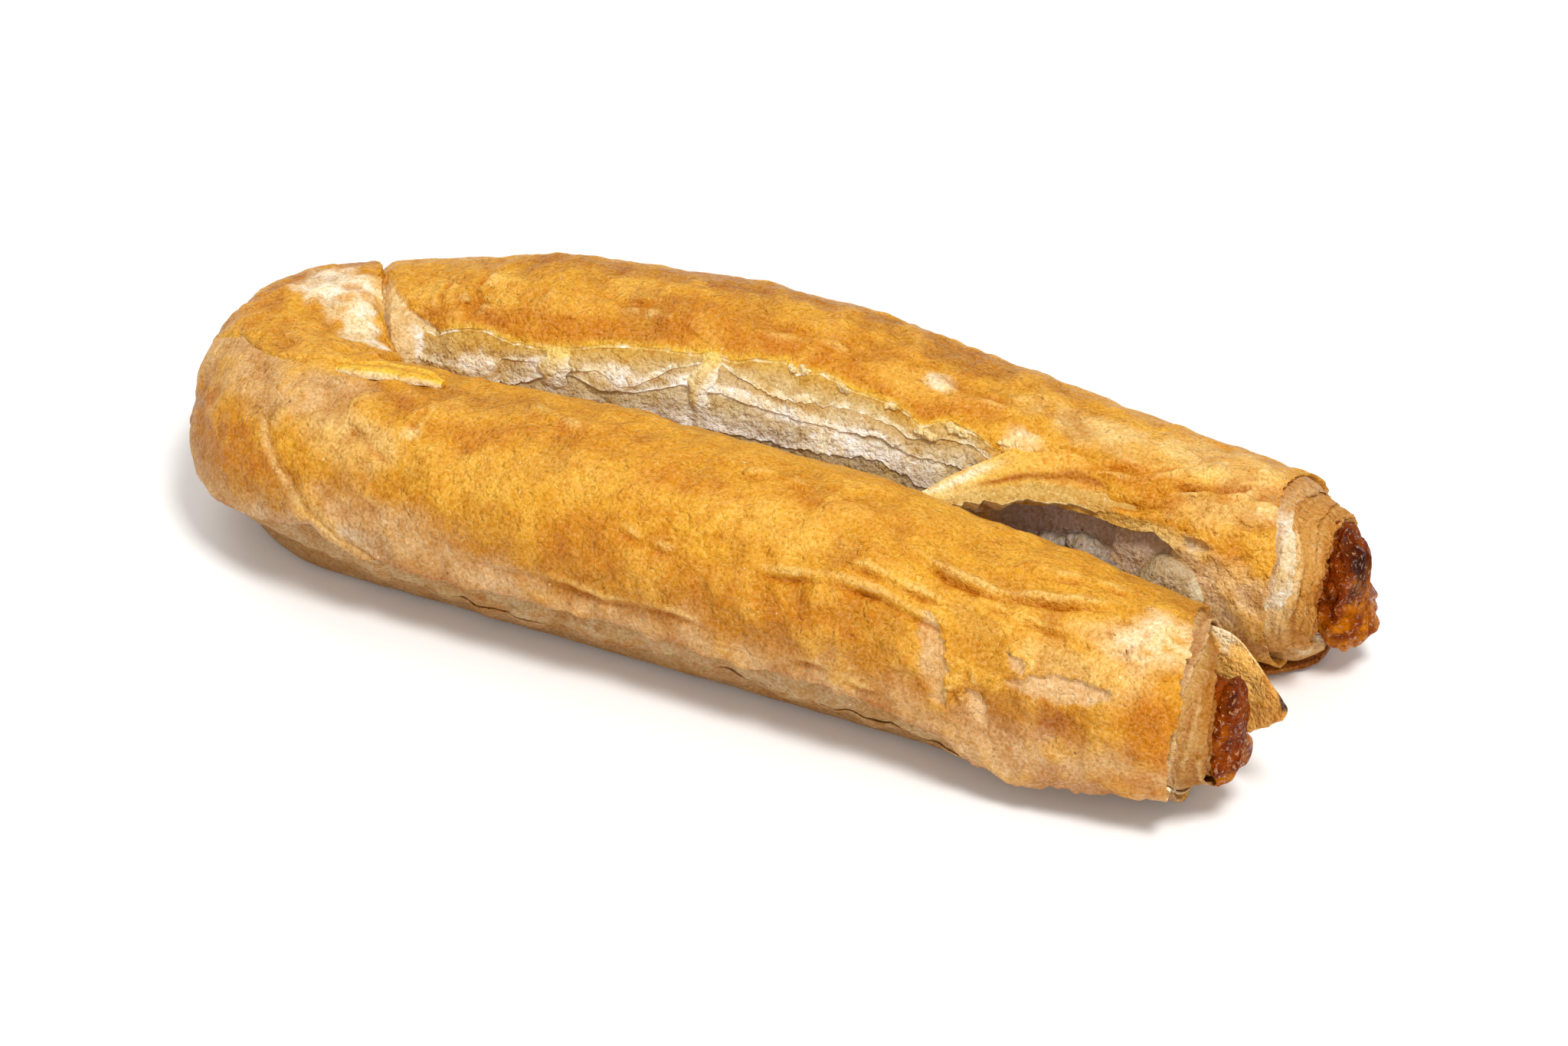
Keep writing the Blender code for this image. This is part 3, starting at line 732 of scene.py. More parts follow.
def near_knots(along):
    """The near arm's fold lines: the base sheet, its edge, and the skin between two skirts."""
    front = front_skirt(along)
    back = 212 + np.interp(along, *BACK_SKIRT)
    flat = 0 * along
    under = UNDER_STEP + flat
    base = np.minimum(-33 + np.interp(along, *BASE_EDGE), front - 6)
    gap = np.clip(np.interp(along, *BASE_GAP), 0, 1)
    level = 1.2 - 0.5 * gap
    return (
        (flat - 62, level),
        # The base sheet's free edge, which opens into a dark gap in places.
        (base, level),
        (base + 1.0, level + 0.4 * gap),
        (base + 1.2 - 4.2 * gap, under + 0.05 + 0.95 * gap),
        (base + 2, under + 0.1),
        # The skin's lower edge stands off the sheet beneath it.
        (front + SKIRT_FOLD, under),
        (front + SKIRT_FOLD, under - 0.5),
        (front, flat + 0.25),
        (front + 1.0, flat - 0.3),
        # The skin.
        (flat + 30, flat),
        (flat + 110, flat),
        (back, flat),
        # Its other edge, on the inner side, and the underside.
        (back - 3, under - 0.3),
        (back - 3, under),
        (flat + 242, under),
        (flat + 298, under),
    )


NEAR_FOLD = 0.8
NEAR_FOLD_LINE = ((160, 82), (155, 84), (150, 89), (146, 92), (142, 93))
NEAR_COLUMNS = (8, 1, 3, 3, 14, 2, 3, 1, 44, 78, 46, 2, 1, 8, 8)
NEAR_SKIN = (8, 9, 10)  # which of these strips are the outer skin
NEAR_PATCHES = (
    ("amber", 0.55, 87, 72, 9, 7),
    ("amber", 0.5, 140, 84, 7, 9),
    ("amber", 0.5, 128, 70, 8, 14),
    ("amber", 0.45, 110, 84, 10, 10),
    ("amber", 0.5, 96, 30, 16, 12),
    ("amber", 0.55, 70, 24, 10, 12),
    ("amber", 0.5, 56, 30, 8, 10),
    ("amber", 0.45, 60, 84, 12, 8),
    ("amber", 0.6, 5, 26, 6, 22),
    ("amber", 0.4, 30, 70, 8, 8),
    ("honey", 0.6, 70, 62, 12, 12),
    ("honey", 0.5, 104, 60, 12, 12),
    ("honey", 0.5, 124, 50, 10, 12),
    ("honey", 0.7, 24, 54, 14, 16),
    ("straw", 0.4, 16, 42, 10, 12),
    ("honey", 0.5, 38, 22, 8, 12),
    ("straw", 0.4, 146, 52, 9, 12),
    ("straw", 0.35, 150, 60, 6, 6),
    ("toast", 0.5, 150, 82, 12, 6),
    ("toast", 0.45, 128, 96, 16, 8),
    ("beige", 0.75, 166, 64, 12, 17),
    ("beige", 0.7, 178, 36, 8, 14),
    ("beige", 0.6, 156, 78, 8, 12),
    ("toast", 0.5, 168, 20, 12, 16),
    ("amber", 0.7, 162, 26, 7, 14),
    ("beige", 0.7, 140, 12, 14, 14),
    ("grey", 0.6, 146, -2, 10, 9),
    ("beige", 0.6, 122, 0, 12, 10),
    ("brown", 0.75, 19, 12, 3.2, 6),
    ("brown", 0.35, 22, 8, 8, 12),
    ("brown", 0.5, 14, -22, 8, 10),
    ("toast", 0.6, 6, 116, 8, 12),
    ("F8E2B8", 0.9, 7.5, 74, 5.5, 16),
    ("F8E2B8", 0.4, 14, 64, 5, 8),
    ("gold", 0.8, 6, 70, 1.4, 3),
    ("gold", 0.8, 4.5, 78, 1.4, 3),
    ("gold", 0.7, 8, 64, 1.4, 3),
    ("amber", 0.7, 4, 30, 3, 9),
    ("amber", 0.7, 3, 4, 3, 12),
    ("amber", 0.5, 4, -16, 4, 9),
    ("straw", 0.7, 137, 63, 1.6, 4),
)


NEAR_BANDS = (  # tone, weight, the angles it comes in between, how far it wanders
    ("toast", 0.75, 44, 6, 14),
    ("beige", 0.8, 14, -12, 12),
    ("toast", 0.7, 112, 150, 14),
    ("beige", 0.6, 150, 200, 12),
)


def under_skin(layer):
    """Where the near arm's strips lie beneath its outer skin."""
    return (layer < NEAR_SKIN[0] - 1) | (layer > NEAR_SKIN[-1])


def past_lower_edge(along, angle, points):
    """How far places are past the lower sheet's edge on the near arm."""
    return along - between(LOWER_EDGE, angle) + 0.5 * unevenness(points, 3.0)


def near_tones(along, angle, layer, points, cut, bumps):
    """The near arm's baking: gold on top, paler and greyer down its sides."""
    wobble = unevenness(points, 6.0)
    fine = unevenness(points + 40, 2.6)
    tones = banded(points, angle, wobble, NEAR_BANDS)
    tones = patched(tones, along, angle, wobble + 0.5 * fine, NEAR_PATCHES, 0.5)
    from_lower = past_lower_edge(along, angle, points)
    shown = 0.6 * span((-40, -20, 48, 62), angle)
    # A dark line at the foot of the lower sheet's edge is painted shadow, and a pale line runs along
    # the edge itself.
    tones = blend(tones, "A4651E", shown * hump(from_lower, -0.7, 0.5))
    tones = blend(tones, "F0CC90", shown * hump(from_lower, 0.1, 0.45))
    tones = painted_relief_shading(tones, bumps)
    under = under_skin(layer)
    beneath = blend(blend(tones, "AE8452", 0.95 + 0 * along), "BC9C70", 0.4 + 0.9 * wobble)
    beneath = blend(beneath, "toast", 0.45 * smooth(0.0, 0.4, fine))
    beneath = blend(beneath, "A0703C", 0.6 * (layer <= 1))
    tones = np.where(under[..., None], beneath, tones)
    edge = hump(angle, front_skirt(along), 4.0) * ~under
    tones = blend(tones, "brown", 0.75 * edge * (0.6 + 0.8 * wobble))
    tones = blend(tones, "DDB27C", 1.2 * cut)
    dry = np.where(under, 0.7, 0.15 + 0.3 * smooth(20, -10, angle))
    return tones, np.clip(dry + cut + 0.7 * patch(along, angle, wobble, 6, 74, 5, 19), 0, 1)


NEAR_ROWS = steps(0, 0.004, 2) + steps(0.004, 0.955, 300) + steps(0.955, 1.0, 8) + [1.0]
BLISTER = 3.4  # mm across one blister of the skin
BLISTER_RISE = 0.22
BLISTER_RUNS = 16.0
# Where there are more blisters: how many, along, angle, half length, half angle.
NEAR_BLISTERED = ((2.4, 9, 74, 7, 20),)
FAR_BLISTERED = ((1.5, 318, 124, 6, 12), (1.0, 352, 118, 12, 14))
COVERED = 1.6  # how far a sheet sinks where the next one is wound over it


def blistered(along, angle, points, places):
    """The heights of the blisters on an arm's skin."""
    bubbly = smooth(-0.1, 0.5, unevenness(points + 90, BLISTER_RUNS))
    for amount, *place in places:
        bubbly += amount * patch(along, angle, 0, *place)
    return BLISTER_RISE * bubbly * blisters(points, BLISTER)


def near_roll():
    """The near arm, from its rim to under the sheet that is wound over the bend."""
    grid = lay_out(near_start, near_end, NEAR_ROWS, near_knots, NEAR_COLUMNS)
    along, angle, turned, plain, depth, layer = grid
    cut = window_depth(along, turned, plain)
    furrows = creased(along, turned, NEAR_CREASES)
    bumps = wrinkled(plain)
    height = plain_relief(along, angle, plain) + furrows + bumps
    height += NEAR_FOLD * crease(along, turned, NEAR_FOLD_LINE, -1.0, 1.0, 0.0)
    height += blistered(along, turned, plain, NEAR_BLISTERED)
    from_lower = past_lower_edge(along, turned, plain)
    lower = smooth(-0.35, 0.35, from_lower) - 0.6 * hump(from_lower, -0.8, 0.7)
    height += LOWER_STEP * lower * span((-40, -20, 44, 60), turned)
    height -= COVERED * smooth(0, 2.5, along - between(WRAP_EDGE, turned)) + cut
    height += np.where(under_skin(layer), 0.7 * unevenness(plain, 5.0), 0)
    tones, dry = near_tones(along, turned, layer, plain, cut / WINDOW_DEPTH, bumps)
    grid = laid(along, angle, plain, height - depth), painted_crease_shading(tones, furrows), dry
    grid = close_open_end(grid, along, angle, 3.0, NEAR_CRUMBS, True)
    return grid_piece("near_roll", *close_hidden_end(grid, angle, near_end))


# The ends of the rolls: two open ones with a rim, and hidden ones.

NEAR_CRUMBS = (-70, -40, 45, 65)  # the angles where each rim is floury
FAR_CRUMBS = (110, 125, 190, 215)
RIM_ROWS = 14  # how many rows of the skin a tear in the rim draws back
# The wall and the recess behind a rim: how far in each ring of points is, and its size.
RECESS = ((0.15, 0.985), (0.4, 0.972), (3.0, 0.95), (5.5, 0.87), (6.0, 0.6), (6.0, 0.0))
RECESS_DRYNESS = 0.9
DOME = (0.8, 0.5, 0.0)


def with_rings(grid, rings, tones, dry, first):
    """A grid's points, tones and dryness with rings of points added before or after them."""
    order = -1 if first else 1
    rings[-1][:] = rings[-1].mean(0)
    added = [np.array(part)[::order] for part in (rings, tones, dry)]
    return [np.concatenate([own, new][::order]) for own, new in zip(grid, added)]


def close_open_end(grid, along, angle, seed, crumbs_at, first):
    """Tears the rim, and adds the skin's wall and the recess, closed deep inside the roll."""
    points = grid[0]
    row = 0 if first else -1
    turned = wrapped(angle[row])
    tear = np.interp(turned, *ragged_line(seed, *RIM_TEAR))
    rim = points[:RIM_ROWS] if first else points[: -RIM_ROWS - 1 : -1]
    rim[..., 0] -= tear * (1 - np.arange(RIM_ROWS) / RIM_ROWS)[:, None]
    middle = plain_points(along[row], angle[row], 0.0)
    rings = []
    for inward, scale in RECESS:
        ring = middle + (points[row] - middle) * scale
        ring[:, 0] = points[row, :, 0] - inward
        rings.append(ring)
    crumbly = span(crumbs_at, turned)
    wall = blend(over(middle, "honey"), "cream", crumbly)
    recess = blend(over(middle, "D2A468"), "DEC4A0", crumbly)
    tones = [wall] * 2 + [recess] * (len(rings) - 2)
    dry = np.full((len(rings), len(wall)), RECESS_DRYNESS)
    return with_rings(grid, rings, tones, dry, first)


def close_hidden_end(grid, angle, end, first=False):
    """Closes a covered end of a roll with a dome inside the piece that covers it."""
    points, tones, dry = grid
    row = 0 if first else -1
    middle = plain_points(end(wrapped(angle[row])), angle[row], 0.0)
    rings = [middle + (points[row] - middle) * scale for scale in DOME]
    return with_rings(grid, rings, [tones[row]] * len(DOME), [dry[row]] * len(DOME), first)


# The bend, wound over with its own sheet.


WRAP_TEAR = ragged_line(21.0, *RIM_TEAR)
CRACK_TEAR = ragged_line(29.0, *RIM_TEAR)


def bend_start(angle):
    return between(WRAP_EDGE, angle) + np.interp(angle, *WRAP_TEAR)


def bend_end(angle):
    return between(CRACK_LINE, angle) - 0.8 + np.interp(angle, *CRACK_TEAR)


def even_knots(along):
    """Fold lines at fixed angles, with nothing cut into the skin."""
    return [(place + 0 * along, 0 * along) for place in (-62, 30, 130, 242, 298)]


BEND_COLUMNS = (60, 100, 60, 10)
BEND_PATCHES = (
    ("amber", 0.6, 181, 62, 6, 14),
    ("amber", 0.5, 190, 66, 5, 10),
    ("amber", 0.5, 172, 84, 5, 8),
    ("toast", 0.6, 194, 52, 10, 14),
    ("toast", 0.5, 184, 34, 8, 10),
    ("honey", 0.5, 174, 92, 6, 10),
    ("FFF2DC", 0.85, 191, 73, 4.5, 11),
    ("FFF2DC", 1.0, 190, 90, 6.0, 12),
    ("FFF2DC", 1.0, 187, 107, 7.5, 13),
    ("FFF2DC", 0.95, 180, 121, 8.5, 13),
    ("FFF2DC", 0.8, 171, 135, 7, 11),
    ("gold", 0.6, 192, 88, 1.6, 5),
    ("gold", 0.7, 188, 97, 2.0, 5),
    ("gold", 0.7, 193, 104, 1.6, 9),
    ("gold", 0.5, 181, 104, 3, 7),
    ("honey", 0.6, 188, 124, 2.4, 8),
    ("olive", 0.3, 184, 100, 3, 7),
)


BEND_ROWS = steps(0, 0.02, 3) + steps(0.02, 1.0, 112) + [1.0]
FLOURY = (187, 100)  # the middle of the floury, blistered place beside the crack
BEND_BANDS = (
    ("toast", 0.8, 50, 14, 14),
    ("beige", 0.6, 10, -16, 12),
    ("beige", 0.8, 140, 180, 12),
)


def bend_tones(along, angle, points, bumps):
    """The bend's baking: gold over its shoulder, floury and blistered beside the crack."""
    wobble = unevenness(points, 5.0)
    fine = unevenness(points + 40, 2.2)
    tones = banded(points, angle, wobble, BEND_BANDS)
    tones = painted_relief_shading(patched(tones, along, angle, wobble + 0.7 * fine, BEND_PATCHES, 0.35), bumps)
    from_crack = between(CRACK_LINE, angle) - along
    tones = blend(tones, "yellow", 0.6 * hump(from_crack, 1.6, 1.2) * smooth(80, 100, angle))
    tones = blend(tones, "honey", 0.6 * hump(along, bend_start(angle), 1.0))
    floury = patch(along, angle, wobble, *FLOURY, 8, 28)
    return tones, np.clip(0.15 + 0.75 * floury, 0, 1)


def bend_wrap():
    """The sheet that is wound over the bend, from its edge to the crack."""
    grid = lay_out(bend_start, bend_end, BEND_ROWS, even_knots, BEND_COLUMNS)
    along, angle, turned, plain, _, _ = grid
    bumps = wrinkled(plain)
    height = plain_relief(along, angle, plain) + creased(along, turned, BEND_CREASES) + bumps
    bubbly = 0.4 + 1.6 * patch(along, turned, 0, *FLOURY, 9, 28)
    height += 0.24 * bubbly * blisters(plain, 3.0)
    height += WRAP_STEP * smooth(-60, -30, turned) * (1 - smooth(140, 170, turned))
    height -= 0.6 * (1 - smooth(-0.2, 0.9, along - bend_start(turned)))
    from_crack = bend_end(turned) - along
    height -= 0.9 * smooth(64, 120, turned) * (1 - smooth(0.0, 2.2, from_crack))
    height -= 0.25 * (1 - smooth(0.0, 3.0, from_crack))
    grid = laid(along, angle, plain, height), *bend_tones(along, turned, plain, bumps)
    grid = close_hidden_end(grid, angle, bend_start, True)
    return grid_piece("bend_wrap", *close_hidden_end(grid, angle, bend_end))


# The far arm, torn open along the side that faces the near arm.


def far_start(angle):
    return between(CRACK_LINE, angle) - 4


def far_end(angle):
    return between(FAR_RIM_LINE, angle)


UNDERCUT_RUNS = (((9.0, 1.7), (3.5, 0.8)), ((2.0, 0.1),))
UNDERCUTS = [ragged_line(130.0 + 17.0 * k, *UNDERCUT_RUNS) for k in range(len(TORN_EDGES))]
LEAST_UNDERCUT = 0.1  # undercuts in degrees
UNDERCUT = 1.4
SKIN_SLOPE = 1.6  # the skin's own edge slopes out instead
HOLLOW_UNDERCUT = 8.0
HOLLOW_SHEET = 2  # the torn edge that the hollow is cut under
HOLLOW_LIP = 0.6
SHEET_THICKNESS = 0.15
EDGE_SAG = 0.2
STEP_SHIFT = 30.0  # so that the steps don't fade where the undercuts do
CAVE_EDGE = ragged_line(64.0, ((6.0, 1.2), (2.2, 0.9)), ((1.2, 0.8),))


def in_cave(along):
    """1 in the hollow's deeper part."""
    return span(CAVE_SPAN, along + np.interp(along, *CAVE_EDGE))


def far_knots(along):
    """The far arm's fold lines: each torn sheet's edge is cut back under and steps down."""
    flat = 0 * along
    torn = span(TORN_SPAN, along)
    hollow = span(HOLLOW_SPAN, along)
    steps_down = [
        torn * step * (0.4 + 0.8 * smooth(-1.2, 0.8, np.interp(along + STEP_SHIFT, *line)))
        for step, line in zip(TORN_STEPS, UNDERCUTS)
    ]
    steps_down[HOLLOW_SHEET] = (
        steps_down[HOLLOW_SHEET] + hollow * HOLLOW_DEPTH + in_cave(along) * CAVE_DEPTH
    )
    lines = [(flat - 62, flat), (flat + 55, flat), (torn_edge(0, along) - 8, flat)]
    depth = flat
    for number, step in enumerate(steps_down):
        edge = torn_edge(number, along)
        open_run = np.clip(np.interp(along, *UNDERCUTS[number]), 0, 1) * (number > 0)
        here = hollow * (number == HOLLOW_SHEET)
        cut = torn * (LEAST_UNDERCUT + UNDERCUT * open_run - SKIN_SLOPE * (number == 0))
        cut = cut + HOLLOW_UNDERCUT * here
        thin = SHEET_THICKNESS * torn + HOLLOW_LIP * here
        sag = EDGE_SAG * torn * (number < 2)
        lines += [
            (edge, depth + sag),
            (edge - 0.2, depth + sag + thin),
            (edge - cut, depth + np.maximum(0.8 * step, sag + thin)),
            (edge - cut, depth + step),
        ]
        depth = depth + step
    closing = depth * 0.35
    lines += [(flat + 206, closing), (flat + 242, flat), (flat + 298, flat)]
    return lines


FAR_COLUMNS = (40, 74, 12, 1, 2, 1, 26, 1, 2, 1, 18, 1, 2, 1, 16, 1, 2, 1, 26, 12, 8)
FAR_PATCHES = (
    ("amber", 0.6, 228, 120, 12, 7),
    ("amber", 0.6, 240, 122, 8, 8),
    ("amber", 0.5, 212, 118, 6, 10),
    ("amber", 0.6, 256, 104, 12, 14),
    ("amber", 0.5, 286, 100, 14, 12),
    ("amber", 0.55, 270, 112, 12, 6),
    ("amber", 0.5, 310, 116, 8, 12),
    ("honey", 0.7, 209, 104, 6, 12),
    ("honey", 0.7, 223, 102, 5, 12),
    ("honey", 0.6, 236, 110, 6, 7),
    ("honey", 0.5, 247, 92, 6, 8),
    ("honey", 0.6, 300, 108, 9, 9),
    ("toast", 0.6, 232, 74, 14, 10),
    ("toast", 0.7, 266, 70, 24, 14),
    ("toast", 0.7, 304, 72, 18, 14),
    ("toast", 0.4, 250, 100, 6, 10),
    ("brown", 0.35, 246, 78, 6, 7),
    ("brown", 0.3, 262, 82, 10, 6),
    ("straw", 0.7, 334, 96, 14, 12),
    ("straw", 0.6, 352, 84, 12, 14),
    ("cream", 1.0, 321, 122, 3.2, 7),
    ("cream", 0.7, 303, 102, 2.4, 6),
    ("cream", 0.6, 232, 137, 5, 2.5),
    ("yellow", 0.4, 316, 124, 8, 8),
    ("honey", 0.6, 356, 112, 10, 16),
    ("F2CC84", 0.5, 356, 124, 8, 10),
    ("amber", 0.75, 343, 114, 9, 4),
    ("amber", 0.6, 334, 122, 8, 4),
    ("amber", 0.7, 347, 124, 5, 8),
    ("amber", 0.4, 354, 90, 6, 8),
    ("amber", 0.8, 336, 138, 11, 2.5),
    ("CDA65C", 0.85, 340, 144, 14, 4.5),
    ("E0BE7C", 0.8, 353, 149, 6, 7),
    ("E2C090", 0.9, 354, 172, 16, 20),
    ("beige", 0.6, 362, 160, 8, 12),
    ("EEC88C", 0.6, 364, 112, 3, 9),
    ("honey", 0.5, 366, 130, 5, 14),
    ("amber", 0.4, 361, 140, 4, 12),
    ("toast", 0.7, 358, 206, 18, 16),
    ("grey", 0.9, 355.5, 145, 2.2, 3),
    ("gold", 0.6, 340, 100, 6, 6),
    ("F4CC80", 0.7, 361, 100, 6, 12),
)
SHEET_TONES = (  # at its upper edge, lower down, and along its torn edge
    ("D0A44E", "D4B67E", "F6E8C8"),
    ("CFAE78", "DCC8A4", "FFF6E8"),
    ("D2BC90", "D8C8B0", "FFF6E8"),
)
# Where the torn sheets are crumbled white: along, angle, half length, half angle.
CRUMBLED = (
    (248, 145, 5, 5), (234, 146, 4, 4), (222, 149, 2.5, 5), (262, 141, 4, 3),
    (271, 142, 6, 3), (283, 147, 8, 4), (294, 155, 9, 6), (305, 150, 7, 4), (204, 138, 4, 12),
)


FAR_ROWS = steps(0, 0.03, 4) + steps(0.03, 1.0, 330) + [1.0]
TORN_SHOWN = (200, 206, 314, 322)  # where the sheets and the hollow have tones of their own
HOLLOW_SHOWN = (318, 321, 350, 353)
FAR_BANDS = (
    ("toast", 0.7, 66, 30, 12),
    ("beige", 0.6, 10, -16, 12),
)
# The first and last strips of the torn side, of the valley's floor and of the hollow.
TORN_LAYERS = (4, 18)
LAYERS_A_SHEET = 4
FLOOR_LAYERS = (16, 18)
HOLLOW_LAYERS = (14, 19)


def strips(layer, ends):
    """Where the strip is one of those from the first to the last."""
    return (layer >= ends[0]) & (layer <= ends[1])


def far_tones(along, angle, layer, points, bumps):
    """The far arm's baking: orange-gold skin, and pale layers where it has torn."""
    wobble = unevenness(points, 6.0)
    fine = unevenness(points + 40, 2.2)
    tones = banded(points, angle, wobble, FAR_BANDS)
    near_edge = torn_edge(0, along) - angle
    browned = hump(near_edge, 5, 9) * span((206, 214, 306, 320), along)
    tones = blend(tones, "amber", 0.75 * browned)
    tones = painted_relief_shading(patched(tones, along, angle, wobble + 0.6 * fine, FAR_PATCHES, 0.45), bumps)
    lip = hump(near_edge, 0, 3.0) * span((204, 210, 306, 320), along)
    tones = blend(tones, "E8B83C", 0.85 * lip)
    tones = blend(tones, "F0D490", 0.7 * hump(near_edge, 0, 1.2) * lip * smooth(0.0, 0.3, fine))
    pale = 1 - smooth(-1.0, 0.6, along - between(PALE_END, angle) + 0.8 * fine)
    tones = blend(tones, "E8CFA0", 0.75 * pale)
    tones = blend(tones, "olive", 0.35 * pale * smooth(0, 0.5, wobble))
    dry = np.maximum(0.15 + 0.2 * wobble, 0.9 * pale)
    return torn_tones(along, angle, layer, points, wobble, fine, tones, dry)


def torn_tones(along, angle, layer, points, wobble, fine, tones, dry):
    """Lays the torn sheets' colours, the valley's and the hollow's over the far arm's own."""
    torn = span(TORN_SHOWN, along)
    for number, (upper, lower, edge_tone) in enumerate(SHEET_TONES):
        first = TORN_LAYERS[0] + LAYERS_A_SHEET * number
        here = strips(layer, (first, first + LAYERS_A_SHEET - 1)) * torn
        above = torn_edge(number, along)
        reach = np.maximum(torn_edge(number + 1, along) - above, 3)
        part = rise(0, 1, (angle - above) / reach)
        own = blend(over(points, upper), lower, smooth(0.1, 0.8, part + 0.3 * wobble))
        own = blend(own, edge_tone, 0.85 * smooth(0.7, 0.96, part + 0.3 * fine))
        for place in CRUMBLED:
            own = blend(own, "FFF8EC", 0.85 * patch(along, angle, wobble + fine, *place, 0.4))
        wall = strips(layer, (first, first + 1))
        # The walls under each torn edge are painted pale: partly the torn edges' own whiteness, partly
        # painted light against the shade below each edge.
        own = blend(own, "FFF6E0" if number else "E6C06A", 0.8 * wall)
        own = blend(own, "FFF6E0", 0.8 * wall * smooth(0.1, 0.35, fine))
        tones = tones + (own - tones) * here[..., None]
        dry = np.maximum(dry, 0.9 * here)
    floor = strips(layer, FLOOR_LAYERS) & (torn > 0.5)
    own = blend(over(points, "C4AC78"), "BAA688", 0.5 + wobble)
    own = blend(own, "taupe", smooth(180, 205, angle))
    tones = np.where(floor[..., None], own, tones)
    dry = np.where(floor, 0.8, dry)
    inside = strips(layer, HOLLOW_LAYERS)
    hollow = span(HOLLOW_SHOWN, along) * inside
    tones = blend(tones, "C2A68C", 0.95 * hollow)
    tones = blend(tones, "C6AEA2", 0.95 * in_cave(along) * inside)
    return tones, np.clip(np.maximum(dry, 0.9 * hollow), 0, 1)


def far_roll():
    """The far arm, from under the bend's sheet to its rim."""
    grid = lay_out(far_start, far_end, FAR_ROWS, far_knots, FAR_COLUMNS)
    along, angle, turned, plain, depth, layer = grid
    furrows = creased(along, turned, FAR_CREASES)
    torn = strips(layer, TORN_LAYERS)
    bumps = wrinkled(plain)
    height = plain_relief(along, angle, plain) + furrows + np.where(torn, 0.8, 1.0) * bumps
    height += blistered(along, turned, plain, FAR_BLISTERED)
    pale = 1 - smooth(-0.5, 0.5, along - between(PALE_END, turned) + unevenness(plain, 2.0))
    height -= 0.6 * pale * smooth(50, 70, turned)
    height -= EYE_DEPTH * patch(along, turned, unevenness(plain, 2.0), *EYE, 0.25)
    before = between(CRACK_LINE, turned) + 0.8 - along
    height -= COVERED * smooth(-0.6, 1.2, before)
    height -= 1.5 * smooth(64, 120, turned) * smooth(-0.6, 2.0, before)
    tones, dry = far_tones(along, turned, layer, plain, bumps)
    tones = painted_crease_shading(tones, np.where(torn, 0, furrows))
    grid = laid(along, angle, plain, height - depth), tones, dry
    grid = close_hidden_end(grid, angle, far_start, True)
    grid = close_open_end(grid, along, angle, 9.0, FAR_CRUMBS, False)
    return grid_piece("far_roll", *grid)


# The rolled layers that show at the open ends.

LAYER_ROUND = 220
LAYER_DEEP = 34
LAYER_SUNK = 0.12  # keeps the layers' backs out of the creases in the skin
FAR_CRUMB_SPAN = (96, 114, 180, 200)  # where the far end's layers are pale and crumbly
OPEN_ROUND = (-120, 50, 98, 122, 156, 188, 240)  # the angles at which a layer's reach is given
HALF_ROLL = 16.0  # mm, to turn a wall's thickness into a part of the roll's section


def end_layer(name, end, outward, reaches, back, scale, taper, tone, edge_tone, seed, thick):
    """One rolled layer of dough inside an open end: a short tube with a ragged front edge."""
    angles = np.linspace(0, 360, LAYER_ROUND, endpoint=False)
    turned = wrapped(angles)
    tears = np.interp(turned, *ragged_line(seed, ((40.0, 1.2), (13.0, 0.7)), ((6.0, 0.5), (2.5, 0.25))))
    reach = np.interp(turned, OPEN_ROUND, reaches) + 0.7 * tears
    rim = FAR_RIM if outward > 0 else NEAR_RIM
    outer = np.array(steps(0, 1, LAYER_DEEP) + [1.0])
    parts = np.concatenate([outer, outer[::-1]])
    rows = []
    ridges = []
    for number, part in enumerate(parts):
        inwards = back + (reach - back) * part
        along = rim + (end(turned) - rim) * (1 - 0.6 * part) + outward * inwards
        wall = thick * (1 - 0.55 * part) * (number > LAYER_DEEP)
        drawn = scale - taper * smooth(0.55, 1.0, part) - wall / HALF_ROLL
        drawn -= LAYER_SUNK * (1 - smooth(0.35, 0.65, part))
        plain = plain_points(along, angles, drawn)
        ridge = unevenness(np.stack([angles / 55 + seed, inwards, 0 * angles], -1), 1.0)
        folds = 0.4 * ridge + 0.22 * unevenness(plain, 2.2)
        rows.append(plain + facing(along, angles) * (folds * rise(0, 0.3, part))[..., None])
        ridges.append(ridge)
    points = np.array(rows)
    ridges = np.array(ridges)
    wobble = unevenness(points, 4.0)
    tones = blend(over(points, tone), edge_tone, smooth(0.45, 1.0, parts[:, None] + 0.3 * wobble))
    # Darker in the fold valleys and paler on the fold crests: painted shade and painted light of the
    # folds.
    tones = blend(tones, "A8692C", 0.55 * smooth(0.0, 0.35, -ridges))
    tones = blend(tones, "E6C890", 0.4 * smooth(0.1, 0.5, ridges))
    if outward > 0:
        tones = blend(tones, "C4893C", 0.75 * (1 - span(FAR_CRUMB_SPAN, turned + 8 * wobble)))
    dry = np.clip(0.6 + 0.3 * wobble, 0, 1)
    return grid_piece(name, *[np.concatenate([part, part[:1]]) for part in (points, tones, dry)])


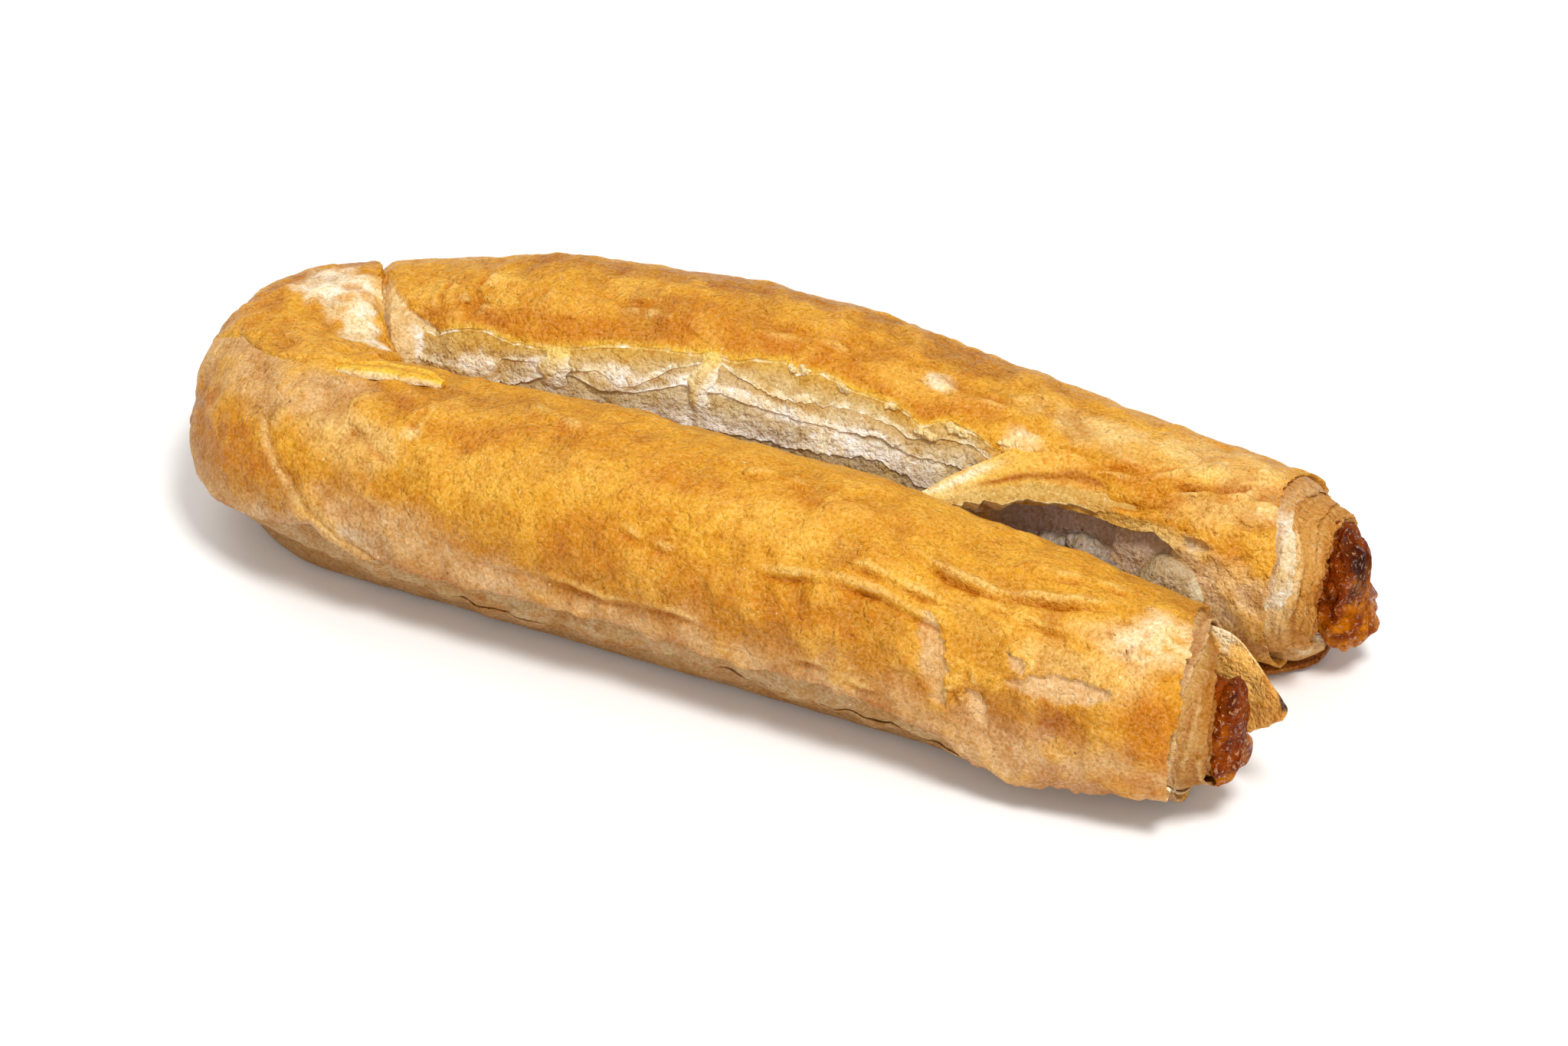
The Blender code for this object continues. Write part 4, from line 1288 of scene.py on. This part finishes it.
# Name, reach out of the rim at OPEN_ROUND, how far back it starts, its part of the roll's
# section, how much it draws in, colours inside and at its edge, seed, thickness.
NEAR_LAYERS = (
    (
        "near_crumb_layer", (-1.0, -3.6, -3.6, -3.6, -3.6, -3.6, -1.0),
        -7.5, 0.95, 0.01, "DCC6A4", "F0DEC0", 61, 1.0,
    ),
    (
        "near_thin_layer", (1.4, 0.8, 1.6, 0.0, 0.0, 0.0, 1.4),
        -7.0, 0.91, 0.02, "C49C6C", "D2AA78", 67, 0.8,
    ),
    (
        "near_sleeve", (5.0, 4.8, 3.4, 0.2, 0.2, 0.2, 5.0),
        -6.5, 0.86, 0.12, "C49858", "AC7228", 71, 1.2,
    ),
    (
        "near_inner_sleeve", (5.4, 5.0, 3.0, -0.8, -0.8, -0.8, 5.4),
        -6.5, 0.71, 0.06, "AA7028", "A46824", 73, 1.2,
    ),
    # The lining is dark brown, partly its own colour and partly painted shade of the gap round the
    # filling.
    (
        "near_lining", (6.2, 4.4, 2.0, -2.0, -2.0, -2.0, 6.2),
        -6.5, 0.62, 0.05, "8E5016", "985C1C", 77, 2.0,
    ),
)
FAR_LAYERS = (
    (
        "far_crumb_layer", (-2.0, -0.6, -0.4, 1.0, 2.2, -2.0, -3.5),
        -7.5, 0.94, 0.06, "DEC4A0", "E8D2B2", 79, 0.9,
    ),
    (
        "far_thin_layer", (-1.5, -2.0, -0.6, 1.8, 3.2, 1.0, -1.5),
        -7.0, 0.90, 0.05, "D8AE74", "E0B87C", 83, 0.8,
    ),
    (
        "far_middle_layer", (0.6, 2.4, 3.6, 4.2, 4.6, 3.0, 0.6),
        -7.0, 0.87, 0.06, "BC8034", "C89044", 87, 0.8,
    ),
    (
        "far_sleeve", (2.6, 5.6, 6.2, 5.4, 5.2, 4.8, 2.6),
        -6.5, 0.83, 0.08, "B67A2C", "C68C3C", 89, 1.2,
    ),
    (
        "far_lining", (3.0, 5.6, 6.2, 5.6, 5.4, 5.2, 3.0),
        -6.5, 0.75, 0.04, "96581A", "AC6C22", 97, 1.2,
    ),
)


# The filling.


def rope_points(along, angle, grow):
    """Points round the filling's plain rope."""
    width, height, side = station(FILLING_SECTIONS, along)
    _, outer_height, lift, _ = station(SECTIONS, along)
    place, outward = frame_at(along)
    turn = np.radians(angle)
    flat = place + outward * (side + width / 2 * grow * np.cos(turn))[..., None]
    up = lift + outer_height / 2 + height / 2 * grow * np.sin(turn)
    return np.stack([flat[..., 0], flat[..., 1], up], -1)


KNOB = 16.0  # the length at each end that is drawn finely
# The filling's crags, round its sides and over its ends: size, amount, the number that keeps
# the pattern apart, and whether it is folded into sharp valleys.
SIDE_CRAGS = ((5.5, 1.0, 0, False), (4.2, 1.7, 20, True), (1.9, 0.45, 8, True), (0.8, 0.12, 0, False))
END_CRAGS = ((5.0, 1.4, 0, False), (3.6, 1.8, 9, True), (1.7, 0.45, 0, True), (0.7, 0.1, 0, False))
SIDE_SINK = 0.7
END_SINK = 1.1
LOWEST_FILLING = 2.6


def crags(points, rows):
    """How far the filling's surface stands out, from one of the tables above."""
    height = np.zeros(points.shape[:-1])
    for size, amount, apart, folded in rows:
        wave = unevenness(points + apart, size)
        height += amount * (np.abs(wave) if folded else wave)
    return height


def filling_rope():
    """The filling from end to end, with a cragged, baked knob at each opening."""
    low = NEAR_FILLING[1]
    high = FAR_FILLING[1]
    places = steps(low, low + KNOB, 90) + steps(low + KNOB, high - KNOB, 60)
    places += steps(high - KNOB, high, 90) + [high]
    around = np.linspace(0, 360, 160, endpoint=False)
    along, angle = np.meshgrid(np.array(places), around, indexing="ij")
    from_end = np.minimum(along - low, high - along)
    grow = 1.0 - 0.5 * (1 - np.sqrt(rise(0, 2.8, from_end)))
    base = rope_points(along, angle, grow)
    middle = rope_points(along, angle, 0)
    away = base - middle
    shift = np.zeros(along.shape)
    for sleeve, end, taller, sunk, profile in (NEAR_FILLING, FAR_FILLING):
        part = rise(0, 1, (along - sleeve) / (end - sleeve))
        shown = rise(0, 0.3, part)
        away[..., 2] *= 1 + (taller - 1) * shown
        middle[..., 2] -= sunk * shown
        shift += part * between(profile, middle[..., 2] + away[..., 2])
    base = middle + away
    showing = 1 - smooth(8, 12, from_end)
    crag = (crags(base, SIDE_CRAGS) - SIDE_SINK) * showing
    points = base + unit(away) * crag[..., None]
    cap = 1 - smooth(0, 4.5, from_end)
    flat = np.stack([0 * along, base[..., 1], base[..., 2]], -1)
    points[..., 0] += shift + (crags(flat, END_CRAGS) - END_SINK) * cap
    points[..., 2] = np.maximum(points[..., 2], LOWEST_FILLING)
    height = (points[..., 2] - 15) / 10
    burn = smooth(0.25, 0.8, unevenness(base + 11, 4.0) + 0.6 * height) * cap
    glow = smooth(-0.1, 0.4, unevenness(base + 5, 3.4) - 0.8 * height)
    tones = blend(over(points, "8A3C04"), "C67202", 0.95 * glow)
    tones = blend(tones, "260A08", 0.92 * burn)
    for row in (0, -1):
        points[row] = points[row].mean(0)
    return grid_piece("filling_rope", points, tones, np.clip(burn, 0, 1), sharp=70)


# Loose sheets and shreds.


def through(rows, across, down):
    """A smooth grid of points through a few given rows of points."""
    rows = np.array(rows, float)

    def refine(values, count):
        places = np.linspace(0, len(values) - 1, count)
        table = np.concatenate([np.arange(len(values))[:, None], values.reshape(len(values), -1)], 1)
        return np.stack(station(table, places), -1).reshape((count,) + values.shape[1:])

    fine = refine(rows, down)
    return refine(fine.transpose(1, 0, 2), across).transpose(1, 0, 2)


FLAP_ROWS = (
    ((56.0, 19.5, 30.0), (60.0, 13.0, 29.5), (64.0, 8.5, 27.0), (66.0, 6.5, 24.2)),
    ((49.0, 17.0, 31.2), (52.0, 11.5, 30.2), (57.0, 7.6, 27.6), (60.0, 6.0, 25.2)),
    ((43.5, 12.5, 30.6), (46.0, 8.4, 29.8), (50.0, 5.8, 28.0), (53.6, 4.6, 25.8)),
    ((38.8, 6.0, 29.9), (41.0, 3.8, 29.2), (44.0, 2.4, 27.8), (46.4, 1.6, 26.2)),
    ((35.2, -1.6, 29.8), (36.8, -2.4, 29.3), (38.8, -3.0, 28.2), (40.4, -3.4, 27.2)),
    ((32.2, -9.4, 29.6), (33.4, -9.4, 29.4), (34.8, -9.6, 28.8), (36.0, -9.8, 28.2)),
)
POINTED_FLAP_ROWS = (
    ((79.0, -14.0, 24.4), (79.2, -15.4, 19.8), (79.6, -16.8, 14.4), (80.6, -18.6, 9.0)),
    ((88.4, -13.8, 23.6), (89.0, -15.6, 19.6), (89.8, -17.2, 14.6), (91.0, -19.0, 8.6)),
    ((93.6, -15.6, 21.0), (94.2, -16.8, 18.6), (95.0, -18.2, 15.0), (95.8, -19.8, 10.8)),
    ((99.6, -19.6, 18.0), (100.2, -20.2, 17.4), (100.5, -20.7, 16.6), (100.2, -21.2, 15.4)),
)
BASE_FLAKE_ROWS = (
    ((66.0, 6.2, 1.6), (66.0, 13.0, 0.8), (66.0, 24.0, 0.8)),
    ((78.0, 7.0, 1.2), (78.0, 13.0, 0.8), (78.0, 24.0, 0.8)),
    ((87.0, 8.0, 0.8), (87.0, 13.4, 0.8), (88.0, 23.0, 0.8)),
    ((92.0, 11.6, 0.8), (93.6, 14.6, 0.9), (94.0, 20.0, 1.2)),
    ((93.4, 13.4, 0.9), (95.2, 16.6, 1.0), (95.6, 19.4, 1.4)),
)
HOLLOW_CURL_ROWS = (
    ((65.5, 8.0, 14.6), (65.7, 5.5, 15.6), (66.0, 3.0, 14.6), (66.2, 2.2, 11.0)),
    ((68.5, 7.6, 18.6), (68.8, 4.0, 19.7), (69.0, 0.8, 17.6), (69.2, 0.2, 12.5)),
    ((72.2, 7.6, 20.9), (72.4, 4.0, 21.9), (72.8, 0.6, 19.8), (73.0, -0.2, 13.5)),
    ((76.0, 7.6, 20.9), (76.2, 4.0, 21.6), (76.6, 0.8, 19.4), (76.8, 0.0, 15.0)),
    ((78.6, 7.6, 18.4), (78.8, 4.2, 19.0), (79.0, 1.6, 17.6), (79.0, 1.2, 15.0)),
)
# Broken lumps of dough in the hollow: name, middle, half sizes.
LUMPS_IN_HOLLOW = (
    ("small_lump", (51.0, 6.8, 15.2), (3.4, 3.6, 3.4)),
    ("large_lump", (57.8, 6.8, 14.8), (6.0, 4.4, 4.2)),
    ("low_lump", (62.4, 4.2, 12.8), (3.0, 2.6, 3.8)),
)
BASE_CURL_ROWS = (
    ((84.0, 15.5, 3.4), (84.0, 10.6, 4.0), (84.0, 8.2, 7.0), (84.0, 9.0, 9.6)),
    ((89.6, 16.5, 2.6), (89.6, 11.6, 2.8), (89.8, 9.6, 5.6), (89.6, 10.8, 8.6)),
    ((93.0, 17.6, 3.0), (93.2, 13.4, 3.0), (93.4, 11.4, 5.4), (93.2, 12.6, 8.0)),
    ((95.4, 18.6, 4.6), (95.8, 15.4, 4.2), (96.0, 13.6, 5.6), (95.6, 14.4, 7.4)),
)


def loose_sheet(name, rows, across, down, thick, rough, ragged, tone_of):
    """A curved, slightly crumpled sheet through given rows of points."""
    points = through(rows, across, down)
    parts = np.meshgrid(np.linspace(0, 1, down), np.linspace(0, 1, across), indexing="ij")
    slide = ragged * unevenness(points + 17, 2.6) + 0.5 * ragged * unevenness(points + 3, 1.1)
    slide *= smooth(0.7, 1.0, parts[1])
    points = points + unit(np.gradient(points, axis=1)) * slide[..., None]
    bumps = rough * unevenness(points, 4.5) + 0.35 * rough * unevenness(points + 30, 1.8)
    points = points + normals(points) * bumps[..., None]
    thickness = thick(*parts) if callable(thick) else thick
    return sheet_piece(name, points, thickness, *tone_of(*parts, points))


def flap_thickness(down, across):
    """Thicker where the flap turns over its lip."""
    return 1.0 + 0.9 * smooth(0.6, 0.9, across)


def leaf_thickness(down, across):
    """Thin at the leaf's edges and thicker where it folds."""
    return 0.4 + 0.8 * np.sin(math.pi * np.clip(across, 0, 1))


def flap_tones(down, across, points):
    """A fold that is orange-gold where it leaves the skin and pale at its free corner."""
    wobble = unevenness(points, 5.0)
    tones = blend(over(points, "E8A43C"), "EBBC52", 0.9 * smooth(0.15, 0.5, down + 0.1 * wobble))
    tones = blend(tones, "E8CC88", 0.9 * smooth(0.6, 0.9, down + 0.1 * wobble))
    # A pale line along the flap's ridge: painted highlight.
    ridge = hump(across + 0.1 * wobble, 0.2, 0.12) * smooth(0.45, 0.75, down)
    tones = blend(tones, "FFF2D6", 0.8 * ridge)
    lip = smooth(0.56, 0.68, across + 0.06 * wobble)
    tones = blend(tones, "CDA65C", 0.9 * lip)
    # A brown line where the flap folds over its lip: painted shade in the fold.
    fold = hump(across + 0.05 * wobble, 0.52, 0.06)
    tones = blend(tones, "B06A08", fold * (1 - smooth(0.6, 0.85, down)))
    tones = blend(tones, "E8CE96", 0.7 * smooth(0.93, 1.0, across))
    return tones, np.clip(0.3 + 0.3 * lip, 0, 1)


def leaf_tones(down, across, points):
    """A golden leaf of dough, browned to its tip."""
    wobble = unevenness(points, 3.0)
    tones = blend(over(points, "F4BE66"), "E8AA50", 0.5 * smooth(0.3, 0.9, across + 0.4 * wobble))
    shaded = (1 - smooth(0.3, 0.45, down + 0.2 * wobble)) * smooth(0.15, 0.35, across)
    tones = blend(tones, "C08430", 0.3 * shaded)
    corner = (1 - smooth(0.08, 0.22, across + 0.2 * wobble)) * (1 - smooth(0.35, 0.5, down))
    tones = blend(tones, "F4E0BC", 0.9 * corner)
    rim = (1 - smooth(0.0, 0.05, across)) * (1 - smooth(0.7, 0.85, down))
    tones = blend(tones, "cream", 0.4 * rim)
    tones = blend(tones, "CC8430", 0.6 * smooth(0.78, 0.92, down + 0.1 * wobble))
    tip = smooth(0.93, 0.99, down + 0.05 * wobble) * (1 - smooth(0.5, 0.8, across))
    return blend(tones, "burnt", tip), 0.1 + 0 * down


def edged(base, edge, weight, low, high, side, size, dry):
    """Tones of a sheet that changes towards its edge: down it (0) or across it (1)."""

    def tone_of(down, across, points):
        part = (down, across)[side] + 0.3 * unevenness(points, size)
        return blend(over(points, base), edge, weight * smooth(low, high, part)), dry + 0 * down

    return tone_of


LOOSE_SHEETS = (  # name, rows, points across and down, thickness, roughness, raggedness, tones
    ("hollow_flap", FLAP_ROWS, 60, 140, flap_thickness, 0.35, 1.0, flap_tones),
    ("pointed_flap", POINTED_FLAP_ROWS, 60, 80, leaf_thickness, 0.4, 0.5, leaf_tones),
    (
        "base_flake", BASE_FLAKE_ROWS, 60, 80, 0.9, 0.25, 0.6,
        edged("toast", "brown", 0.7, 0.4, 0.9, 0, 3.0, 0.2),
    ),
    (
        "hollow_curl", HOLLOW_CURL_ROWS, 40, 50, 0.6, 0.3, 0.5,
        edged("BCA27C", "DCCBA8", 1.0, 0.7, 0.95, 0, 2.5, 0.7),
    ),
)
BASE_CURL = (
    "base_curl", BASE_CURL_ROWS, 50, 60, 1.1, 0.35, 0.5,
    edged("C8985C", "F0DCB8", 1.0, 0.7, 1.0, 1, 2.5, 0.6),
)


TONGUE = (160, 139)  # its two ends along the roll, in mm
TONGUE_ANGLE = 96
TONGUE_SPREAD = 19  # its width, in degrees
TONGUE_THICKNESS = 0.7


def tongue():
    """The yellow fold that tapers along the near arm's shoulder."""
    down, across = np.meshgrid(np.linspace(0, 1, 90), np.linspace(0, 1, 26), indexing="ij")
    along = TONGUE[0] + (TONGUE[1] - TONGUE[0]) * down
    wide = np.sin(math.pi * np.clip(down * 0.93 + 0.03, 0, 1)) ** 0.7
    angle = TONGUE_ANGLE + 6 * smooth(0, 0.6, down) + (across - 0.5) * TONGUE_SPREAD * wide
    lift = wide * (0.7 * hump(across, 0.25, 0.25) + 0.5 * hump(across, 0.75, 0.2))
    lift -= 0.7 * smooth(0.85, 1.0, across) + 0.6 * (1 - smooth(0.0, 0.1, across))
    lift -= 1.0 * (1 - smooth(0, 0.3, down)) + 0.5 * smooth(0.85, 1.0, down)
    points = surface(along, angle, lift)
    points = points + 0.2 * unevenness(points, 2.4)[..., None]
    tones = blend(over(points, "yellow"), "amber", 0.6 * hump(across, 0.45, 0.12))
    tones = blend(tones, "cream", 0.8 * smooth(0.16, 0.02, across))
    return sheet_piece("bend_tongue", points, TONGUE_THICKNESS, tones, 0.2 + 0 * down)


SHREDS = (  # name, along, upper and lower angle, half width, seed
    ("long_shred", 264, 124, 163, 1.9, 3.0),
    ("short_shred", 236.5, 136, 162, 2.3, 8.0),
)
SHRED_THICKNESS = 0.5


def shred(name, along, first, last, half, seed):
    """A strip of dough that hangs down over the torn edges."""
    down, across = np.meshgrid(np.linspace(0, 1, 60), np.linspace(-1, 1, 14), indexing="ij")
    wave = unevenness(np.stack([down * 3 + seed, 0 * down, 0 * down], -1), 1.0)
    swell = unevenness(np.stack([down * 4 + seed, 0 * down + 5, 0 * down], -1), 1.0)
    place = along + across * half * (1 + 0.5 * swell) + 1.2 * wave
    angle = first + (last - first) * down
    lift = -0.3 + 0.7 * np.sin(math.pi * down) - 1.9 * smooth(0.25, 1.0, down) - 0.5 * across**2
    points = surface(place, angle, lift)
    points += 0.3 * unevenness(points, 1.6)[..., None]
    tones = blend(over(points, "EAD096"), "E8C050", 0.7 * (1 - smooth(0.05, 0.35, down)))
    tones = blend(tones, "FFF6E6", 0.85 * smooth(0.4, 0.75, down + 0.4 * across))
    return sheet_piece(name, points, SHRED_THICKNESS, tones, 0.7 + 0 * down)


def ball(detail, radius):
    """A new small sphere, and its points in millimetres."""
    bpy.ops.mesh.primitive_ico_sphere_add(subdivisions=detail, radius=radius * MM)
    piece = bpy.context.object
    return piece, np.array([v.co for v in piece.data.vertices]) / MM


LUMP_DRYNESS = 0.9
LUMP_ROUGH = ((3.4, 0.45), (1.2, 0.16))


def lump(name, middle, half_sizes):
    """A rounded, broken lump of pale dough, darker below as painted shade."""
    piece, round_points = ball(5, 1.0)
    points = np.array(middle) + round_points * np.array(half_sizes)
    rough = 1 + waves(points, LUMP_ROUGH)
    points = np.array(middle) + round_points * np.array(half_sizes) * rough[:, None]
    set_points(piece, points)
    # Dark grey below and paler on top: painted shade on the lump's underside.
    upper = smooth(0.1, 0.9, round_points[:, 2] + 0.5 * unevenness(points, 2.0))
    tones = blend(over(points, "6E6662"), "AC9C8C", upper)
    paint(piece, tones, np.full(len(points), LUMP_DRYNESS))
    bpy.ops.object.shade_smooth()
    return finished(piece, name)


CRUMB_BEDS = (  # along, angle, half length, half angle, count
    (280, 123, 1.8, 0.9, 14),
    (289, 125.5, 1.0, 0.8, 7),
    (298, 127, 1.2, 0.8, 5),
    (305.5, 134.5, 1.8, 1.2, 20),
    (310, 127, 1.8, 1.4, 18),
    (320, 126, 2.4, 4.0, 10),
    (5.5, 78, 1.5, 10, 12),
)


def crumbs():
    """Small white scraps of dry dough that cling to the torn places."""
    made = []
    places = np.random.default_rng(11)
    for middle, around, half_length, half_angle, count in CRUMB_BEDS:
        for _ in range(count):
            along = np.array(middle + half_length * places.uniform(-1, 1))
            angle = np.array(around + half_angle * places.uniform(-1, 1))
            size = places.uniform(0.35, 0.75)
            spot = surface(along, angle, np.array(-0.3))
            crumb, shape = ball(2, size)
            rough = 1 + 0.5 * unevenness(shape + 10 * places.uniform(size=3), 0.9)
            shape = shape * rough[:, None] * places.uniform(0.6, 1.3, 3) + spot
            set_points(crumb, shape)
            paint(crumb, over(shape, "F6DCA4"), np.full(len(shape), LUMP_DRYNESS))
            crumb.select_set(False)
            made.append(crumb)
    for crumb in made:
        crumb.select_set(True)
    bpy.context.view_layer.objects.active = made[0]
    bpy.ops.object.join()
    bpy.ops.object.shade_smooth()
    return finished(bpy.context.object, "dough_crumbs")


# Materials.


def add(tree, kind, inputs=None, **settings):
    """Adds a node, with its settings and with its inputs set or linked."""
    made = tree.nodes.new("ShaderNode" + kind)
    for name, value in settings.items():
        setattr(made, name, value)
    for key, value in (inputs or {}).items():
        if isinstance(value, bpy.types.NodeSocket):
            tree.links.new(value, made.inputs[key])
        else:
            made.inputs[key].default_value = value
    return made


def size(mm):
    """A pattern's scale on object coordinates, from the size of one feature in mm."""
    return 1000 / mm


def linear(code):
    """A node's colour, from an sRGB hex value."""
    return (*colour(code), 1.0)


def new_material(name):
    """A material with no nodes, its node tree, and its place on the object."""
    made = bpy.data.materials.new(name)
    made.use_nodes = True
    made.node_tree.nodes.clear()
    return made, made.node_tree, add(made.node_tree, "TexCoord").outputs["Object"]


# Thin wheat dough brushed with oil and baked: a grainy, faintly shiny golden skin.
OILED_DOUGH = {
    "patterns": (  # name, kind, size of one feature in mm, inputs, settings
        ("patches", "TexNoise", 9.0, {"Detail": 4.0, "Roughness": 0.55}, {}),
        ("mottle", "TexNoise", 2.8, {"Detail": 4.0, "Roughness": 0.55}, {}),
        ("grain", "TexNoise", 0.6, {"Detail": 2.0, "Roughness": 0.55}, {}),
        ("bubbles", "TexVoronoi", 1.7, {"Smoothness": 0.6}, {"feature": "SMOOTH_F1"}),
        ("painted_glints", "TexVoronoi", 4.6, {}, {}),
        ("specks", "TexVoronoi", 7.5, {}, {}),
    ),
    "ranges": (  # name, what it comes from, its low and high, and what they are turned to
        ("bubbly", "dry", 0.3, 0.9, 1.0, 0.4),
        ("roughness", "dry", 0.0, 1.0, 0.33, 0.75),
        ("shine", "grain", 0.58, 0.36, 0.08, 0.62),
    ),
    # Browner where the oil pooled, paler where the dough stood up in small bubbles: pattern,
    # where it starts and is full, how strong it is, how it blends, and its colour or gain.
    "tints": (
        ("patches", 0.46, 0.66, 0.7, "MULTIPLY", (0.92, 0.80, 0.50, 1.0)),
        ("mottle", 0.50, 0.70, 0.9, "MULTIPLY", (0.86, 0.73, 0.48, 1.0)),
        ("mottle", 0.46, 0.27, 1.0, "MULTIPLY", (1.08, 1.13, 1.16, 1.0)),
        ("bubbles", 0.32, 0.05, 1.0, "MULTIPLY", (1.08, 1.14, 1.2, 1.0)),
        ("grain", 0.45, 0.31, 1.0, "MULTIPLY", (1.16, 1.26, 1.5, 1.0)),
        ("grain", 0.52, 0.68, 0.75, "MULTIPLY", (0.80, 0.69, 0.50, 1.0)),
        # Small cream dots: painted glints.
        ("painted_glints", 0.05, 0.02, 0.7, "MIX", linear("FFE9BE")),
        ("specks", 0.045, 0.02, 0.75, "MIX", linear("6A3A18")),
    ),
    "bumps": (("mottle", 0.0009, "bubbly"), ("bubbles", -0.0007, 0.7), ("grain", 0.0006, 1.0)),
    "shader": {
        "IOR": 1.45,
        "Subsurface Weight": 0.15,
        "Subsurface Radius": (1.0, 0.5, 0.22),
        "Subsurface Scale": 0.0012,
    },
}
# Sweet apple filling boiled down in the oven: sticky, see-through, burnt on top.
CARAMELISED_FILLING = {
    "patterns": (
        ("lumps", "TexNoise", 2.4, {"Detail": 3.0}, {}),
        ("grit", "TexNoise", 0.7, {"Detail": 2.0}, {}),
    ),
    "ranges": (
        ("roughness", "dry", 0.0, 1.0, 0.15, 0.22),
        ("shine", "grit", 0.56, 0.64, 0.03, 1.0),
    ),
    "tints": (
        ("lumps", 0.42, 0.62, 0.85, "MULTIPLY", (0.55, 0.36, 0.25, 1.0)),
        # Orange flecks on the grit's peaks: painted glints.
        ("grit", 0.6, 0.72, 0.6, "MIX", linear("D08410")),
    ),
    "bumps": (("lumps", 0.0018, 1.0), ("grit", 0.0008, 1.0)),
    "shader": {
        "IOR": 1.48,
        "Subsurface Weight": 0.15,
        "Subsurface Radius": (1.0, 0.3, 0.02),
        "Subsurface Scale": 0.002,
    },
}


def baked(name, patterns, ranges, tints, bumps, shader):
    """A baked surface, from the tones and the dryness stored on a mesh's points."""
    made, tree, place = new_material(name)
    tone = add(tree, "Attribute", attribute_name="tone").outputs["Color"]
    found = {"dry": add(tree, "Attribute", attribute_name="dry").outputs["Fac"]}
    for pattern, kind, mm, inputs, settings in patterns:
        node = add(tree, kind, {"Vector": place, "Scale": size(mm), **inputs}, **settings)
        found[pattern] = node.outputs["Fac" if kind == "TexNoise" else "Distance"]
    for key, source, *limits in ranges:
        inputs = {0: found[source], **dict(enumerate(limits, 1))}
        found[key] = add(tree, "MapRange", inputs).outputs[0]
    for pattern, low, high, strength, way, tint in tints:
        inputs = {0: found[pattern], 1: low, 2: high, 3: 0.0, 4: strength}
        part = add(tree, "MapRange", inputs).outputs[0]
        mix = add(tree, "Mix", {0: part, 6: tone, 7: tint}, data_type="RGBA", blend_type=way)
        tone = mix.outputs[2]
    normal = {}
    for pattern, height, strength in bumps:
        inputs = {"Height": found[pattern], "Distance": height, **normal}
        inputs["Strength"] = found.get(strength, strength)
        normal = {"Normal": add(tree, "Bump", inputs).outputs[0]}
    inputs = {"Base Color": tone, "Roughness": found["roughness"], **shader, **normal}
    inputs["Specular IOR Level"] = found["shine"]
    surfaced = add(tree, "BsdfPrincipled", inputs)
    add(tree, "OutputMaterial", {0: surfaced.outputs[0]})
    return made


def matt_floor():
    """Painted board: even, matt and nearly white."""
    made, tree, place = new_material("matt_white_board")
    grain = add(tree, "TexNoise", {"Vector": place, "Scale": size(3.0)}).outputs["Fac"]
    bump = add(tree, "Bump", {"Height": grain, "Distance": 0.0001, "Strength": 0.05})
    inputs = {"Base Color": linear("F9FAFB"), "Roughness": 0.8, "Normal": bump.outputs[0]}
    add(tree, "OutputMaterial", {0: add(tree, "BsdfPrincipled", inputs).outputs[0]})
    return made


# The pieces.

pastry_pieces = [near_roll(), bend_wrap(), far_roll()]
pastry_pieces += [end_layer(name, near_start, -1, *rest) for name, *rest in NEAR_LAYERS]
pastry_pieces += [end_layer(name, far_end, 1, *rest) for name, *rest in FAR_LAYERS]
pastry_pieces += [loose_sheet(*row) for row in LOOSE_SHEETS]
pastry_pieces += [lump(*row) for row in LUMPS_IN_HOLLOW]
pastry_pieces += [loose_sheet(*BASE_CURL), tongue()]
pastry_pieces += [*[shred(*row) for row in SHREDS], crumbs()]
dough = baked("oiled_baked_dough", **OILED_DOUGH)
for piece in pastry_pieces:
    piece.data.materials.clear()
    piece.data.materials.append(dough)
    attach(piece, "root")
    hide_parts("pastry")

rope = filling_rope()
rope.data.materials.clear()
rope.data.materials.append(baked("caramelised_filling", **CARAMELISED_FILLING))
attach(rope, "root")
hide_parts("filling")

# The stage: floor, soft light from above, and the camera.

bpy.ops.mesh.primitive_plane_add(size=6.0, location=(0, 0, -0.0002))
floor = bpy.context.object
floor.name = "floor"
floor.data.materials.append(matt_floor())
floor.select_set(False)

world = bpy.data.worlds.new("studio")
bpy.context.scene.world = world
world.use_nodes = True
daylight = world.node_tree.nodes["Background"].inputs
daylight["Color"].default_value = (1.0, 0.99, 0.97, 1.0)
daylight["Strength"].default_value = 0.52

LIGHTS = (  # name, place, width in metres, power in watts, tint
    ("key", (0.32, -0.22, 0.82), 0.25, 5.8, (1.0, 0.98, 0.95)),
    ("front", (0.40, -0.95, 0.45), 0.40, 1.9, (1.0, 0.98, 0.95)),
    ("fill", (-0.5, 0.3, 0.6), 0.5, 1.6, (1.0, 0.99, 0.97)),
)
AIM = Vector((0, 0, 0.01))
for name, place, width, watts, tint in LIGHTS:
    bpy.ops.object.light_add(type="AREA", location=place)
    lamp = bpy.context.object
    lamp.name = name
    lamp.data.size = width
    lamp.data.energy = watts
    lamp.data.color = tint
    lamp.rotation_euler = (Vector(place) - AIM).to_track_quat("Z", "Y").to_euler()
    lamp.select_set(False)

AZIMUTH = math.radians(25.7)
ELEVATION = math.radians(34.0)
DISTANCE = 0.62
TARGET = Vector((0.0063, -0.003, 0.0135))
level = math.cos(ELEVATION)
back = Vector((math.sin(AZIMUTH) * level, -math.cos(AZIMUTH) * level, math.sin(ELEVATION)))
bpy.ops.object.camera_add(location=TARGET + back * DISTANCE)
camera = bpy.context.object
camera.data.lens = 85
camera.data.sensor_width = 36
camera.data.clip_start = 0.01
camera.data.clip_end = 20
camera.rotation_euler = back.to_track_quat("Z", "Y").to_euler()
camera.select_set(False)
bpy.context.scene.camera = camera
bpy.context.scene.view_settings.view_transform = "Standard"
